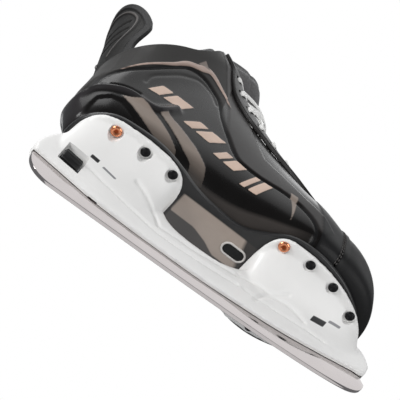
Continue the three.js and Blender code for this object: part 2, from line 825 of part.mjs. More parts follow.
// ---- Runner lock, in the window of the rear tower ----
const LOCK_AT = new THREE.Vector3(-115.6, 0, 40.6);
const LOCK_TILT = 13.7; // degrees, the screw slopes down to the front
const WINDOW_LENGTH = 18;
const WINDOW_HEIGHT = 21.5;
const JAW_LENGTH = 9;
const JAW_HEIGHT = 9;
const JAW_WIDTH = 4.4;
const JAW_AT = 19; // along the screw, from the middle of the window
const JAW_TRAVEL = 6;
const LUG_GAP = 0.6;
const LUG_REACH = 10;
const LUG_ROOT = 15; // below the screw, inside the steel
const LUG_ROOM = 3; // in front of the lug, which swings down out of its pocket

function lockFrame(body) {
  return body.rotate([0, LOCK_TILT, 0]).translate(LOCK_AT.toArray());
}

function lockBox(x0, x1, width, z0, z1) {
  const box = new THREE.BoxGeometry(x1 - x0, width, z1 - z0);
  return solid(box.translate((x0 + x1) / 2, 0, (z0 + z1) / 2));
}

function jawShape() {
  const shape = new THREE.Shape();
  shape.moveTo(JAW_AT - JAW_LENGTH / 2, -JAW_HEIGHT / 2);
  shape.lineTo(JAW_AT - JAW_LENGTH / 2, JAW_HEIGHT / 2);
  shape.lineTo(JAW_AT, JAW_HEIGHT / 2);
  shape.lineTo(JAW_AT + JAW_LENGTH / 2, -JAW_HEIGHT / 2);
  return shape;
}

function makeLockJaw() {
  const screw = cylinderAlong(SCREW_RADIUS, new THREE.Vector3(-4, 0, 0), new THREE.Vector3(JAW_AT, 0, 0));
  return lockFrame(extrudeAcross(jawShape(), JAW_WIDTH).add(screw));
}

function makeLockDial() {
  const shape = new THREE.Shape();
  const count = DIAL_RIBS * 2;
  for (let i = 0; i < count; i++) {
    const angle = (i / count) * 2 * Math.PI;
    const radius = i % 2 ? DIAL_RADIUS : DIAL_RADIUS - 1;
    shape[i ? "lineTo" : "moveTo"](radius * Math.cos(angle), radius * Math.sin(angle));
  }
  const wheel = extrudeUp(shape, -DIAL_WIDTH / 2, DIAL_WIDTH / 2).rotate([0, 90, 0]);
  const bore = cylinderAlong(
    SCREW_RADIUS + CLEARANCE,
    new THREE.Vector3(-DIAL_WIDTH, 0, 0),
    new THREE.Vector3(DIAL_WIDTH, 0, 0),
  );
  return lockFrame(wheel.subtract(bore));
}

function makeLockSpace() {
  const window = lockBox(-WINDOW_LENGTH / 2, WINDOW_LENGTH / 2, 80, -WINDOW_HEIGHT / 2, WINDOW_HEIGHT / 2);
  const bore = cylinderAlong(
    SCREW_RADIUS + 2 * CLEARANCE,
    new THREE.Vector3(-12, 0, 0),
    new THREE.Vector3(JAW_AT, 0, 0),
  );
  const back = JAW_AT - JAW_LENGTH / 2 - JAW_TRAVEL - CLEARANCE;
  const front = JAW_AT + LUG_REACH + LUG_ROOM;
  const top = JAW_HEIGHT / 2 + 3 * CLEARANCE;
  const pocket = lockBox(back, front, JAW_WIDTH + 2 * CLEARANCE, -LUG_ROOT - 4, top);
  return lockFrame(window.add(bore).add(pocket));
}

function makeHolder() {
  const towers = makeTower(REAR_FOOT, REAR_FOOT_Z, REAR_FLANGE, 0)
    .add(makeTower(FRONT_FOOT, FRONT_FOOT_Z, FRONT_FLANGE, 0))
    .add(makeFlange(REAR_FLANGE))
    .add(makeFlange(FRONT_FLANGE));
  const cores = makeTower(REAR_CORE_FOOT, REAR_FOOT_Z, REAR_CORE, 1, CORE_START).add(
    makeTower(FRONT_CORE_FOOT, FRONT_FOOT_Z, FRONT_CORE, 1, CORE_START),
  );
  return makeRail().add(towers).subtract(cores).subtract(bootFrame(rivetRecesses()));
}

// A hooked lug on the steel, which the jaw draws back and holds up.
function makeLug() {
  const shape = new THREE.Shape();
  const slope = JAW_LENGTH / 2 / JAW_HEIGHT;
  shape.moveTo(JAW_AT + LUG_GAP, JAW_HEIGHT / 2);
  shape.lineTo(JAW_AT + LUG_GAP + slope * (JAW_HEIGHT + LUG_GAP), -JAW_HEIGHT / 2 - LUG_GAP);
  shape.lineTo(JAW_AT + LUG_GAP + slope * (JAW_HEIGHT + LUG_GAP), -LUG_ROOT);
  shape.lineTo(JAW_AT + LUG_REACH, -LUG_ROOT);
  shape.lineTo(JAW_AT + LUG_REACH, JAW_HEIGHT / 2);
  return lockFrame(extrudeAcross(shape, RUNNER_THICKNESS));
}

function makeRunner() {
  const line = railPoints(24);
  const shape = new THREE.Shape();
  const toe = HALF_RUNNER;
  shape.moveTo(-60, 0.6);
  shape.quadraticCurveTo(-36, 0, -RUNNER_FLAT / 2, 0);
  shape.lineTo(RUNNER_FLAT / 2, 0);
  shape.quadraticCurveTo(36, 0, 60, 0.6);
  shape.quadraticCurveTo(112, 2.6, 131, 8);
  shape.quadraticCurveTo(toe - 1, 12.5, toe, 24);
  const top = line.map((p) => new THREE.Vector2(p.x, p.y + RUNNER_SEAT)).reverse();
  top.filter((p) => Math.abs(p.x) < toe - 6).forEach((p) => shape.lineTo(p.x, p.y));
  shape.lineTo(-toe + 1, 24);
  shape.quadraticCurveTo(-toe - 1, 4.5, -127, 1.9);
  shape.quadraticCurveTo(-95, 1.2, -60, 0.6);
  return extrudeAcross(shape, RUNNER_THICKNESS, 8).add(makeLug());
}

// ---- Assembly ----
const skate = new THREE.Group();
const boot = new THREE.Group();
boot.rotation.y = pitch;
boot.position.z = SOLE_HEIGHT;
skate.add(boot);

const bores = rivetBores();

const ventSeat = ventSlot(VENT_RIM + CLEARANCE, -1, SOLE_TOP);
const soleBody = extrudeUp(outsoleShape(), 0, OUTSOLE_THICKNESS);
boot.add(piece("outsole", soleBody.subtract(bores).subtract(ventSeat), soleTaupe));
boot.add(piece("quarter_shell", makeQuarterShell().subtract(bores), shellBlack));
boot.add(piece("toe_cap", makeToeCap().subtract(bores), capBlack));
boot.add(piece("liner", makeLiner(), linerGrey));
boot.add(piece("footbed", makeFootbed(), padBlack));
boot.add(piece("tendon_guard", makeGuard(), capBlack));
boot.add(piece("tongue", makeTongue(), padBlack));
boot.add(piece("tongue_top", makeTongueTop(), padBlack));
boot.add(piece("facing_outer", makeEyestay(-1), facingGrey));
boot.add(piece("facing_inner", makeEyestay(1), facingGrey));
boot.add(piece("lace", makeLace(), laceWhite));
for (let row = 0; row < EYELET_ROWS; row++) {
  for (const side of [-1, 1]) {
    const name = `eyelet_${side < 0 ? "outer" : "inner"}_${row + 1}`;
    boot.add(piece(name, makeEyelet(row, side), blackRivet));
  }
}

for (const { name, x, y, bright } of rivetPlaces) {
  boot.add(piece(name, makeRivet(x, y), bright ? copper : blackRivet));
}
boot.add(piece("vent_ring", makeVentRing(), ventGrey));

const holderBody = makeHolder().subtract(makeSlot()).subtract(makeLockSpace());
skate.add(piece("holder", holderBody.subtract(bootFrame(bores)), holderWhite));
skate.add(piece("runner", makeRunner(), steel));
skate.add(piece("lock_dial", makeLockDial(), lockBlack));
skate.add(piece("lock_jaw", makeLockJaw(), steel));

export default skate;
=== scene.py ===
"""Looks for a right-foot ice hockey skate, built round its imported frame.

Working sizes are millimetres in the boot's own frame: u to the toe, v to the inner side and w up from the
sole. BootForm.place turns them into the row's frame, and every mesh is written in metres.
"""

import json
import logging
import math
from dataclasses import dataclass, field
from enum import Enum

import bmesh
import bpy
import numpy as np
from mathutils import Matrix, Vector

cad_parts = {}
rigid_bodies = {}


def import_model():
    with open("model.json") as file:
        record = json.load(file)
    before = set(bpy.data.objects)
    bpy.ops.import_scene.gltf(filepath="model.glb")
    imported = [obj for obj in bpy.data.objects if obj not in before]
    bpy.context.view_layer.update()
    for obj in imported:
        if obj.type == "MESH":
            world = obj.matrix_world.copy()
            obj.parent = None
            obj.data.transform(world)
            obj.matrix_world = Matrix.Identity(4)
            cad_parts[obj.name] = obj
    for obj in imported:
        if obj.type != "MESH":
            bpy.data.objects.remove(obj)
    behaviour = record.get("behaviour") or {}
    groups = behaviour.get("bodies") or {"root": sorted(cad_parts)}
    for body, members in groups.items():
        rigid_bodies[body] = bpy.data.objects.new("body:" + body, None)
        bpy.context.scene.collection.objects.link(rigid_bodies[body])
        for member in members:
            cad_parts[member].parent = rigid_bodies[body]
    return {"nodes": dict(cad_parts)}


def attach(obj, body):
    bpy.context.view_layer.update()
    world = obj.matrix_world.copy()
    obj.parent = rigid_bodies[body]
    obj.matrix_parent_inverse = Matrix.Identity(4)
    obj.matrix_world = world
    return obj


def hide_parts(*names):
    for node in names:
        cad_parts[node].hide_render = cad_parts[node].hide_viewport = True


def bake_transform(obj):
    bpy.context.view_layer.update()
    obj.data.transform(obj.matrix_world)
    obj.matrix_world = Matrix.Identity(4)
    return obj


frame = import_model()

log = logging.getLogger("skate")

MM = 0.001
BOOT_BODY = "boot_and_holder"
Points = np.ndarray
Tree = bpy.types.NodeTree
Socket = bpy.types.NodeSocket


# ---- Curves and fields ----
def smoothstep(low: float, high: float, value: Points) -> Points:
    """Rises smoothly from 0 at low to 1 at high."""
    share = np.clip((np.asarray(value, float) - low) / (high - low), 0, 1)
    return share * share * (3 - 2 * share)


def smooth_through(points: Points, count: int, loop: bool = False) -> Points:
    """A smooth curve through points, sampled evenly along its length.

    Args:
        points: the points it passes, one a row.
        count: how many samples come back.
        loop: whether the last point joins the first.

    Returns:
        The samples, one a row. A loop's first sample isn't repeated.
    """
    spots = np.asarray(points, float)
    if loop:
        spots = np.vstack([spots[-2:], spots, spots[:3]])
    steps = np.maximum(np.linalg.norm(np.diff(spots, axis=0), axis=1), 1e-9)
    slopes = np.diff(spots, axis=0) / steps[:, None]
    middle = (slopes[:-1] * steps[1:, None] + slopes[1:] * steps[:-1, None]) / (steps[:-1] + steps[1:])[:, None]
    tangents = np.vstack([slopes[:1], middle, slopes[-1:]])
    along = np.concatenate([[0], np.cumsum(steps)])
    first, last = (along[2], along[-3]) if loop else (along[0], along[-1])
    wanted = np.linspace(first, last, count + 1)[:-1] if loop else np.linspace(first, last, count)
    low = np.clip(np.searchsorted(along, wanted, "right") - 1, 0, len(steps) - 1)
    span = steps[low][:, None]
    s = ((wanted - along[low])[:, None]) / span
    return (
        (2 * s**3 - 3 * s**2 + 1) * spots[low]
        + (s**3 - 2 * s**2 + s) * span * tangents[low]
        + (3 * s**2 - 2 * s**3) * spots[low + 1]
        + (s**3 - s**2) * span * tangents[low + 1]
    )


def refine(grid: Points, rows: int, columns: int, loop: bool = False) -> Points:
    """A grid of points resampled smoothly both ways; loop closes each row."""
    across = np.stack([smooth_through(row, columns, loop) for row in grid])
    return np.stack([smooth_through(across[:, j], rows) for j in range(across.shape[1])], axis=1)


def distance_to_line(points: Points, line: Points) -> tuple[Points, Points]:
    """How far points lie from a line of straight pieces, and at what share of its length the nearest spot is.

    Args:
        points: the points, one a row.
        line: the line's corners.

    Returns:
        The distances and the shares.
    """
    line = np.asarray(line, float)
    steps = np.linalg.norm(np.diff(line, axis=0), axis=1)
    start = np.concatenate([[0], np.cumsum(steps)])
    best = np.full(len(points), 1e9)
    share = np.zeros(len(points))
    for i, step in enumerate(steps):
        way = (line[i + 1] - line[i]) / max(step, 1e-9)
        reach = np.clip((points - line[i]) @ way, 0, step)
        gap = np.linalg.norm(points - line[i] - reach[:, None] * way, axis=1)
        closer = gap < best
        best[closer] = gap[closer]
        share[closer] = (start[i] + reach[closer]) / start[-1]
    return best, share


def inside_polygon(points: Points, corners: Points) -> Points:
    """Signed distance to a closed outline, positive inside it.

    Args:
        points: the points, one a row.
        corners: the outline's corners.

    Returns:
        The distances.
    """
    corners = np.asarray(corners, float)
    ring = np.vstack([corners, corners[:1]])
    gap, _ = distance_to_line(points, ring)
    crossings = np.zeros(len(points), int)
    for a, b in zip(ring[:-1], ring[1:]):
        spans = (a[1] > points[:, 1]) != (b[1] > points[:, 1])
        rise = b[1] - a[1] if abs(b[1] - a[1]) > 1e-9 else 1e-9
        crossings += spans & (points[:, 0] < (b[0] - a[0]) * (points[:, 1] - a[1]) / rise + a[0])
    return np.where(crossings % 2 == 1, gap, -gap)


def above_line(points: Points, line: Points) -> Points:
    """Signed distance to an open line, positive on its upper side.

    Args:
        points: the points, one a row.
        line: the line's corners.

    Returns:
        The distances.
    """
    gap, _ = distance_to_line(points, line)
    order = np.argsort(line[:, 0])
    height = np.interp(points[:, 0], line[order, 0], line[order, 1])
    return np.where(points[:, 1] > height, gap, -gap)


# ---- Boot surface ----
@dataclass(frozen=True)
class Cut:
    """One section of the boot, in the plane through its sole point and its crown point."""

    sole: Points
    crown: Points
    outer: float
    inner: float
    widest: float
    sole_power: float
    crown_power: float


@dataclass(frozen=True)
class BootForm:
    """The boot's outer surface, with the same stations as the CAD part."""

    pitch: float = math.radians(3.58)
    sole_height: float = 70.6
    sole_top: float = 3.3
    toe_reach: float = 53.0
    free_edge: float = 25.0
    facing_span: float = math.radians(17)
    collar: float = 10.85
    ear: float = 11.85
    tongue_forward: float = 38.0
    tongue_sink: float = 4.5
    tongue_tuck: float = 11.2
    # sole u, sole w, crown u, crown w, outer half, inner half, widest share, sole power, crown power
    stations: tuple[tuple[float, ...], ...] = (
        (83, 0, 82, 62, 48.5, 45, 0.4, 5, 2.2),
        (60, 0, 65, 75, 50.5, 47, 0.38, 5, 2.2),
        (33, 0, 53, 92, 46, 44, 0.38, 4, 2.3),
        (5, 0, 43, 109, 41, 40, 0.4, 3, 2.4),
        (-25, 0, 33, 124, 38, 38, 0.43, 3, 2.4),
        (-57, 0, 25, 136, 37, 37, 0.45, 3.8, 2.4),
        (-92, 0, 17, 146, 37, 37, 0.46, 3.8, 2.4),
        (-116, 5, 9.5, 156, 37, 37, 0.47, 2.8, 2.4),
        (-125, 23, 3, 164, 37, 37, 0.47, 2.3, 2.4),
        (-125, 47, -3, 171, 38, 38, 0.46, 2.2, 2.4),
        (-119.5, 77, -8, 177, 39, 39, 0.45, 2.1, 2.4),
        (-115, 105, -13, 183, 40, 40, 0.45, 2.1, 2.4),
        (-115, 124, -24, 194, 40, 40, 0.45, 2.1, 2.4),
        (-115, 143, -35, 205, 39, 39, 0.45, 2.1, 2.4),
    )

    def place(self, points: Points) -> Points:
        """Boot-frame millimetres as row-frame millimetres.

        Args:
            points: u, v and w.

        Returns:
            x, y and z.
        """
        u, v, w = np.moveaxis(np.asarray(points, float), -1, 0)
        c, s = math.cos(self.pitch), math.sin(self.pitch)
        return np.stack([u * c + w * s, v, self.sole_height - u * s + w * c], -1)

    def unplace(self, points: Points) -> Points:
        """Row-frame millimetres as boot-frame millimetres.

        Args:
            points: x, y and z.

        Returns:
            u, v and w.
        """
        x, y, z = np.moveaxis(np.asarray(points, float), -1, 0)
        c, s = math.cos(self.pitch), math.sin(self.pitch)
        z = z - self.sole_height
        return np.stack([x * c - z * s, y, x * s + z * c], -1)

    def aim(self, ways: Points) -> Points:
        """Boot-frame directions as row-frame directions."""
        return self.place(ways) - self.place(np.zeros(3))

    def cut(self, t: float) -> Cut:
        """The section at station t: 0 is the toe cap's seam, -1 the tip of the toe.

        Args:
            t: the station.

        Returns:
            The section.
        """
        table = np.array(self.stations, float)
        last = len(table) - 1
        place = max(0.0, t)
        low = min(last - 1, int(place))
        share = place - low
        a, b, c, d = (table[min(last, max(0, i))] for i in (low - 1, low, low + 1, low + 2))
        row = b + 0.5 * share * (c - a + share * (2 * a - 5 * b + 4 * c - d + (3 * b - 3 * c + d - a) * share))
        sole = np.array([row[0], self.sole_top + max(0.0, row[1])])
        crown = np.array([row[2], self.sole_top + row[3]])
        outer, inner = row[4], row[5]
        if t < 0:
            turn = min(1.0, -t) * math.pi / 2
            fade = max(0.0, math.cos(turn))
            height = crown[1] - sole[1]
            forward = self.toe_reach * math.sin(turn)
            sole = np.array([sole[0] + forward, sole[1] + height * 0.12 * (1 - fade)])
            crown = np.array([crown[0] + forward, self.sole_top + height * (0.4 + 0.6 * fade)])
            outer, inner = outer * fade**0.85, inner * fade**0.85
        return Cut(sole, crown, outer, inner, row[6], row[7], row[8])

    def ring(self, t: float, angles: Points, inset: float = 0.0) -> Points:
        """Boot points of one section at angles: 0 is the crown, pi the sole, and the inner side is positive.

        Args:
            t: the station, 0 at the toe cap's seam.
            angles: round the section.
            inset: how far the points lie inside the surface.

        Returns:
            The points, one for each angle.
        """
        cut = self.cut(t)
        angles = np.asarray(angles, float)
        way = cut.crown - cut.sole
        length = float(np.linalg.norm(way))
        way = way / length
        c, s = np.cos(angles), np.sin(angles)
        power = np.where(c < 0, cut.sole_power, cut.crown_power)
        depth = np.where(c < 0, cut.widest, 1 - cut.widest) * length - inset
        along = cut.widest * length + np.sign(c) * np.abs(c) ** (2 / power) * np.maximum(0, depth)
        half = np.maximum(0, np.where(s > 0, cut.inner, cut.outer) - inset)
        across = np.sign(s) * np.abs(s) ** (2 / power) * half
        return np.stack([cut.sole[0] + way[0] * along, across, cut.sole[1] + way[1] * along], -1)

    def free_angle(self, t: float, side: int) -> float:
        """The angle of a facing's free edge.

        Args:
            t: the station, 0 at the toe cap's seam.
            side: 1 for the inner side and -1 for the outer.

        Returns:
            The angle from the crown.
        """
        cut = self.cut(t)
        half = cut.inner if side > 0 else cut.outer
        return math.asin(min(1.0, self.free_edge / half) ** (cut.crown_power / 2))

    def seam_angle(self, t: float, side: int) -> float:
        """The angle of the seam between a facing and the shell."""
        return self.free_angle(t, side) + self.facing_span

    def sheet(
        self, rows: int, columns: int, inset: float, start: float = 0.0, gap: float = 0.0, above: float = 0.0
    ) -> Points:
        """The shell's surface from seam to seam under the sole, as a grid of boot points.

        Args:
            rows: how many rows.
            columns: points in a row.
            inset: how far it lies inside the surface.
            start: the first row's station.
            gap: the angle left free beside the seams.
            above: stations past the rim.

        Returns:
            The points, rows by columns.
        """
        grid = []
        for row in np.linspace(0, 1, rows):
            guess = start + (self.ear - start) * row
            ends = self.seam_angle(guess, 1) + gap, 2 * math.pi - self.seam_angle(guess, -1) - gap
            line = []
            for angle in np.linspace(ends[0], ends[1], columns):
                off = min(angle, 2 * math.pi - angle)
                dip = float(smoothstep(ends[0], ends[0] + math.radians(40), off))
                rim = self.ear + (self.collar - self.ear) * dip
                line.append(self.ring(start + (rim + above - start) * row, np.array([angle]), inset)[0])
            grid.append(line)
        return np.array(grid)

    def tongue(self, t: float, shares: Points, inset: float) -> Points:
        """The tongue's outer face: share 0 is its middle and 1 the inner facing's free edge.

        Args:
            t: the station, 0 at the toe cap's seam.
            shares: across the tongue.
            inset: how far below the face, or above it if negative.

        Returns:
            The points, one for each share.
        """
        spots = []
        for share in shares:
            side = -1 if share < 0 else 1
            tuck = min(1.0, abs(share)) ** 2.2
            sink = self.tongue_sink + (self.tongue_tuck - self.tongue_sink) * tuck
            spot = self.ring(t, np.array([self.free_angle(t, side) * share]), sink + inset)[0]
            spot[0] += self.tongue_forward * float(smoothstep(4.5, 12, t)) * (1 - tuck)
            spots.append(spot)
        return np.array(spots)

    def gap(self, t: float, side: int, share: float, inset: float) -> Points:
        """A point over the gap between the facings: share 0 is the middle and 1 the free edge."""
        return self.ring(t, np.array([side * self.free_angle(t, side) * share]), inset)[0]

    def normal(self, t: float, angle: float, inset: float) -> Points:
        """The outward normal at a point.

        Args:
            t: the station, 0 at the toe cap's seam.
            angle: round the section.
            inset: how far inside the surface.

        Returns:
            A unit direction in the boot frame.
        """
        at = lambda t_, a_, i_: self.ring(t_, np.array([a_]), i_)[0]
        along = at(t + 0.02, angle, inset) - at(t - 0.02, angle, inset)
        round_ = at(t, angle + 0.01, inset) - at(t, angle - 0.01, inset)
        normal = np.cross(along, round_)
        normal /= np.linalg.norm(normal)
        outward = at(t, angle, inset) - at(t, angle, inset + 2)
        return normal if normal @ outward > 0 else -normal


BOOT = BootForm()
EYELET_ROWS = 10
LACED_ROWS = 9
FACING_WALL = 3.3
STITCH_WIDTH = 1.05


@dataclass(frozen=True)
class EyeletSpot:
    """Where one eyelet sits, in the boot frame."""

    t: float
    at: Points
    axis: Points


def row_stations() -> list[float]:
    """Stations of the eyelet rows, evenly spaced along the facing.

    Returns:
        The stations, lowest first.
    """
    fine = np.linspace(0.75, BOOT.ear - 0.42, 200)
    middle = [(BOOT.free_angle(t, -1) + BOOT.seam_angle(t, -1)) / 2 for t in fine]
    line = np.array([BOOT.ring(t, np.array([a]))[0] for t, a in zip(fine, middle)])
    lengths = np.concatenate([[0], np.cumsum(np.linalg.norm(np.diff(line, axis=0), axis=1))])
    wanted = np.linspace(0, lengths[-1], EYELET_ROWS)
    return [float(fine[int(np.argmax(lengths >= want - 1e-6))]) for want in wanted]


ROWS = row_stations()


def eyelet_spot(row: int, side: int) -> EyeletSpot:
    """The middle of an eyelet and its outward axis.

    Args:
        row: counted from the toe.
        side: 1 for the inner side and -1 for the outer.

    Returns:
        The place and axis.
    """
    t = ROWS[row]
    angle = side * (BOOT.free_angle(t, side) + BOOT.seam_angle(t, side)) / 2
    inset = FACING_WALL / 2
    return EyeletSpot(t, BOOT.ring(t, np.array([angle]), inset)[0], BOOT.normal(t, angle, inset))


# ---- Materials ----
def srgb(code: str) -> tuple[float, float, float, float]:
    """An sRGB hex colour as linear red, green, blue and alpha.

    Args:
        code: six hex digits.

    Returns:
        Red, green, blue and alpha.
    """
    parts = [int(code[i : i + 2], 16) / 255 for i in (0, 2, 4)]
    linear = [p / 12.92 if p <= 0.04045 else ((p + 0.055) / 1.055) ** 2.4 for p in parts]
    return (*linear, 1.0)


def add(tree: Tree, kind: str, inputs: dict[str | int, object] | None = None, **settings: object) -> bpy.types.Node:
    """Adds a node to a tree.

    Args:
        tree: the node tree.
        kind: the node's type name.
        inputs: values or output sockets for its inputs, by name or number.
        settings: properties of the node.

    Returns:
        The new node.
    """
    made = tree.nodes.new(kind)
    for name, value in settings.items():
        setattr(made, name, value)
    for name, value in (inputs or {}).items():
        if isinstance(value, bpy.types.NodeSocket):
            tree.links.new(value, made.inputs[name])
        else:
            made.inputs[name].default_value = value
    return made


@dataclass(frozen=True)
class Layer:
    """Paint or another finish where an attribute, a signed distance in millimetres, is positive."""

    mask: str
    colour: str
    roughness: float
    edge: float = 0.35
    strength: float = 1.0


@dataclass(frozen=True)
class Finish:
    """A material with painted layers, a fine surface pattern and wear.

    The pattern's scale is its spacing in millimetres, and bump its height in millimetres.
    """

    name: str
    colour: str
    roughness: float
    metallic: float = 0.0
    specular: float = 0.5
    coat: float = 0.0
    sheen: float = 0.0
    grain: float = 0.8
    bump: float = 0.03
    tint: float = 0.12
    rough_spread: float = 0.08
    layers: tuple[Layer, ...] = ()

    def build(self) -> bpy.types.Material:
        """Makes the material.

        Returns:
            The material.
        """
        material = bpy.data.materials.new(self.name)
        material.use_nodes = True
        tree = material.node_tree
        shader = tree.nodes["Principled BSDF"]
        shader.inputs["Metallic"].default_value = self.metallic
        if self.metallic == 0:
            shader.inputs["Specular IOR Level"].default_value = self.specular
        shader.inputs["Coat Weight"].default_value = self.coat
        shader.inputs["Coat Roughness"].default_value = 0.06
        shader.inputs["Sheen Weight"].default_value = self.sheen
        shader.inputs["Sheen Roughness"].default_value = 0.45
        where = add(tree, "ShaderNodeTexCoord").outputs["Object"]
        colour, rough = self.paint(tree, where)
        tree.links.new(colour, shader.inputs["Base Color"])
        tree.links.new(rough, shader.inputs["Roughness"])
        height = self.pattern(tree, where)
        lift = add(tree, "ShaderNodeBump", {"Strength": 1.0, "Distance": self.bump * MM, "Height": height})
        tree.links.new(lift.outputs["Normal"], shader.inputs["Normal"])
        return material

    def paint(self, tree: Tree, where: Socket) -> tuple[Socket, Socket]:
        """The colour and the roughness, with layers over the base and a slow mottle.

        Args:
            tree: the material's nodes.
            where: object coordinates.

        Returns:
            Their sockets.
        """
        cloud = add(tree, "ShaderNodeTexNoise", {"Vector": where, "Scale": 55.0, "Detail": 3.0})
        spread = {"Value": cloud.outputs["Fac"], "From Min": 0.3, "From Max": 0.7}
        dark = add(tree, "ShaderNodeMapRange", {**spread, "To Min": 1 - self.tint, "To Max": 1.0})
        low = max(0.02, self.roughness - self.rough_spread / 2)
        high = self.roughness + self.rough_spread / 2
        rough = add(tree, "ShaderNodeMapRange", {**spread, "To Min": low, "To Max": high}).outputs["Result"]
        colour = self.ground(tree, where)
        for layer in self.layers:
            gap = add(tree, "ShaderNodeAttribute", attribute_name=layer.mask).outputs["Fac"]
            edge = {"Value": gap, "From Min": -layer.edge, "From Max": layer.edge}
            cover = add(tree, "ShaderNodeMapRange", {**edge, "To Min": 0.0, "To Max": layer.strength}).outputs["Result"]
            paints = {"Factor": cover, 6: colour, 7: srgb(layer.colour)}
            colour = add(tree, "ShaderNodeMix", paints, data_type="RGBA").outputs[2]
            rough = add(tree, "ShaderNodeMix", {"Factor": cover, "A": rough, "B": layer.roughness}).outputs["Result"]
        paints = {"Factor": 1.0, 6: colour, 7: dark.outputs["Result"]}
        shaded = add(tree, "ShaderNodeMix", paints, data_type="RGBA", blend_type="MULTIPLY")
        return shaded.outputs[2], rough

    def ground(self, tree: Tree, where: Socket) -> Socket:
        """The base colour before any layer.

        Args:
            tree: the material's nodes.
            where: object coordinates.

        Returns:
            Its socket.
        """
        plain = add(tree, "ShaderNodeRGB")
        plain.outputs[0].default_value = srgb(self.colour)
        return plain.outputs[0]

    def pattern(self, tree: Tree, where: Socket) -> Socket:
        """Fine moulded grain."""
        grain = add(tree, "ShaderNodeTexNoise", {"Vector": where, "Scale": 1 / (self.grain * MM), "Detail": 2.0})
        return grain.outputs["Fac"]


@dataclass(frozen=True)
class WovenFinish(Finish):
    """Cloth woven of crossing threads, or a knit, drawn coarse enough to show."""

    def pattern(self, tree: Tree, where: Socket) -> Socket:
        """Two sets of threads at right angles, with a little fuzz.

        Args:
            tree: the material's nodes.
            where: object coordinates.

        Returns:
            The height's socket.
        """
        waves = []
        for direction in ("X", "Z"):
            wave = add(
                tree,
                "ShaderNodeTexWave",
                {"Vector": where, "Scale": 0.314 / (self.grain * MM), "Distortion": 0.6, "Detail": 1.0},
                bands_direction=direction,
            )
            waves.append(wave.outputs["Fac"])
        threads = add(tree, "ShaderNodeMath", {0: waves[0], 1: waves[1]}, operation="MAXIMUM")
        fuzz = add(tree, "ShaderNodeTexNoise", {"Vector": where, "Scale": 2200.0, "Detail": 2.0})
        half = add(tree, "ShaderNodeMath", {0: fuzz.outputs["Fac"], 1: 0.5}, operation="MULTIPLY")
        return add(tree, "ShaderNodeMath", {0: threads.outputs[0], 1: half.outputs[0]}, operation="ADD").outputs[0]


@dataclass(frozen=True)
class CarbonFinish(Finish):
    """Twill carbon weave under clear resin."""

    weave: str = "3a3a3c"

    def ground(self, tree: Tree, where: Socket) -> Socket:
        """A twill of two greys, as tows 2 mm wide that cross at a slant.

        Args:
            tree: the material's nodes.
            where: object coordinates.

        Returns:
            Its socket.
        """
        turned = add(tree, "ShaderNodeMapping", {"Vector": where, "Rotation": (0, 0, math.radians(45))})
        check = add(
            tree,
            "ShaderNodeTexChecker",
            {"Vector": turned.outputs["Vector"], "Scale": 1 / (self.grain * MM)},
        )
        faint = add(tree, "ShaderNodeMath", {0: check.outputs["Fac"], 1: 0.5}, operation="MULTIPLY")
        mix = add(
            tree,
            "ShaderNodeMix",
            {"Factor": faint.outputs[0], 6: srgb(self.colour), 7: srgb(self.weave)},
            data_type="RGBA",
        )
        return mix.outputs[2]


@dataclass(frozen=True)
class BrushedFinish(Finish):
    """Metal polished along its length, with hairlines too fine to count."""

    def pattern(self, tree: Tree, where: Socket) -> Socket:
        """Lines stretched along the piece.

        Args:
            tree: the material's nodes.
            where: object coordinates.

        Returns:
            The height's socket.
        """
        drawn = add(tree, "ShaderNodeMapping", {"Vector": where, "Scale": (0.02, 1.0, 1.0)})
        hair = add(
            tree,
            "ShaderNodeTexNoise",
            {"Vector": drawn.outputs["Vector"], "Scale": 1 / (self.grain * MM), "Detail": 2.0},
        )
        return hair.outputs["Fac"]


# ---- Mesh making ----
def grid_faces(rows: int, columns: int, loop: bool = False) -> list[tuple[int, int, int, int]]:
    """Quads of a grid whose points run row by row; loop closes each row.

    Args:
        rows: how many rows.
        columns: points in a row.
        loop: whether each row closes.

    Returns:
        The corners of each face.
    """
    faces = []
    spans = columns if loop else columns - 1
    for i in range(rows - 1):
        for j in range(spans):
            k = (j + 1) % columns
            faces.append((i * columns + j, i * columns + k, (i + 1) * columns + k, (i + 1) * columns + j))
    return faces


def make_object(
    name: str, points: Points, faces: list[tuple[int, ...]], finish: bpy.types.Material | None = None
) -> bpy.types.Object:
    """A mesh object at the origin from row-frame millimetres.

    Args:
        name: the piece's name.
        points: its vertices.
        faces: their corners.
        finish: its material.

    Returns:
        The new piece.
    """
    mesh = bpy.data.meshes.new(name)
    mesh.from_pydata((np.asarray(points, float).reshape(-1, 3) * MM).tolist(), [], faces)
    mesh.update()
    obj = bpy.data.objects.new(name, mesh)
    bpy.context.scene.collection.objects.link(obj)
    if finish is not None:
        mesh.materials.append(finish)
    return obj


def mend(
    obj: bpy.types.Object, merge: float = 0.0, thin: float = 0.0, fill: bool = False, turn: bool = True
) -> None:
    """Merges doubled points, closes holes and turns the faces outwards.

    Args:
        obj: the piece.
        merge: how near points merge, in metres; 0 merges none.
        thin: edges this short are dissolved, in metres.
        fill: whether holes are closed.
        turn: whether the faces are turned outwards.
    """
    work = bmesh.new()
    work.from_mesh(obj.data)
    if merge:
        bmesh.ops.remove_doubles(work, verts=work.verts, dist=merge)
    if thin:
        bmesh.ops.dissolve_degenerate(work, edges=work.edges, dist=thin)
    if fill:
        bmesh.ops.holes_fill(work, edges=work.edges)
    if turn:
        bmesh.ops.recalc_face_normals(work, faces=work.faces)
    work.to_mesh(obj.data)
    work.free()


def shade(obj: bpy.types.Object, sharp: float | None = None) -> None:
    """Smooth shading, with edges sharper than an angle in degrees left hard.

    Args:
        obj: the piece.
        sharp: the angle.
    """
    obj.data.polygons.foreach_set("use_smooth", [True] * len(obj.data.polygons))
    if sharp is not None:
        obj.data.set_sharp_from_angle(angle=math.radians(sharp))


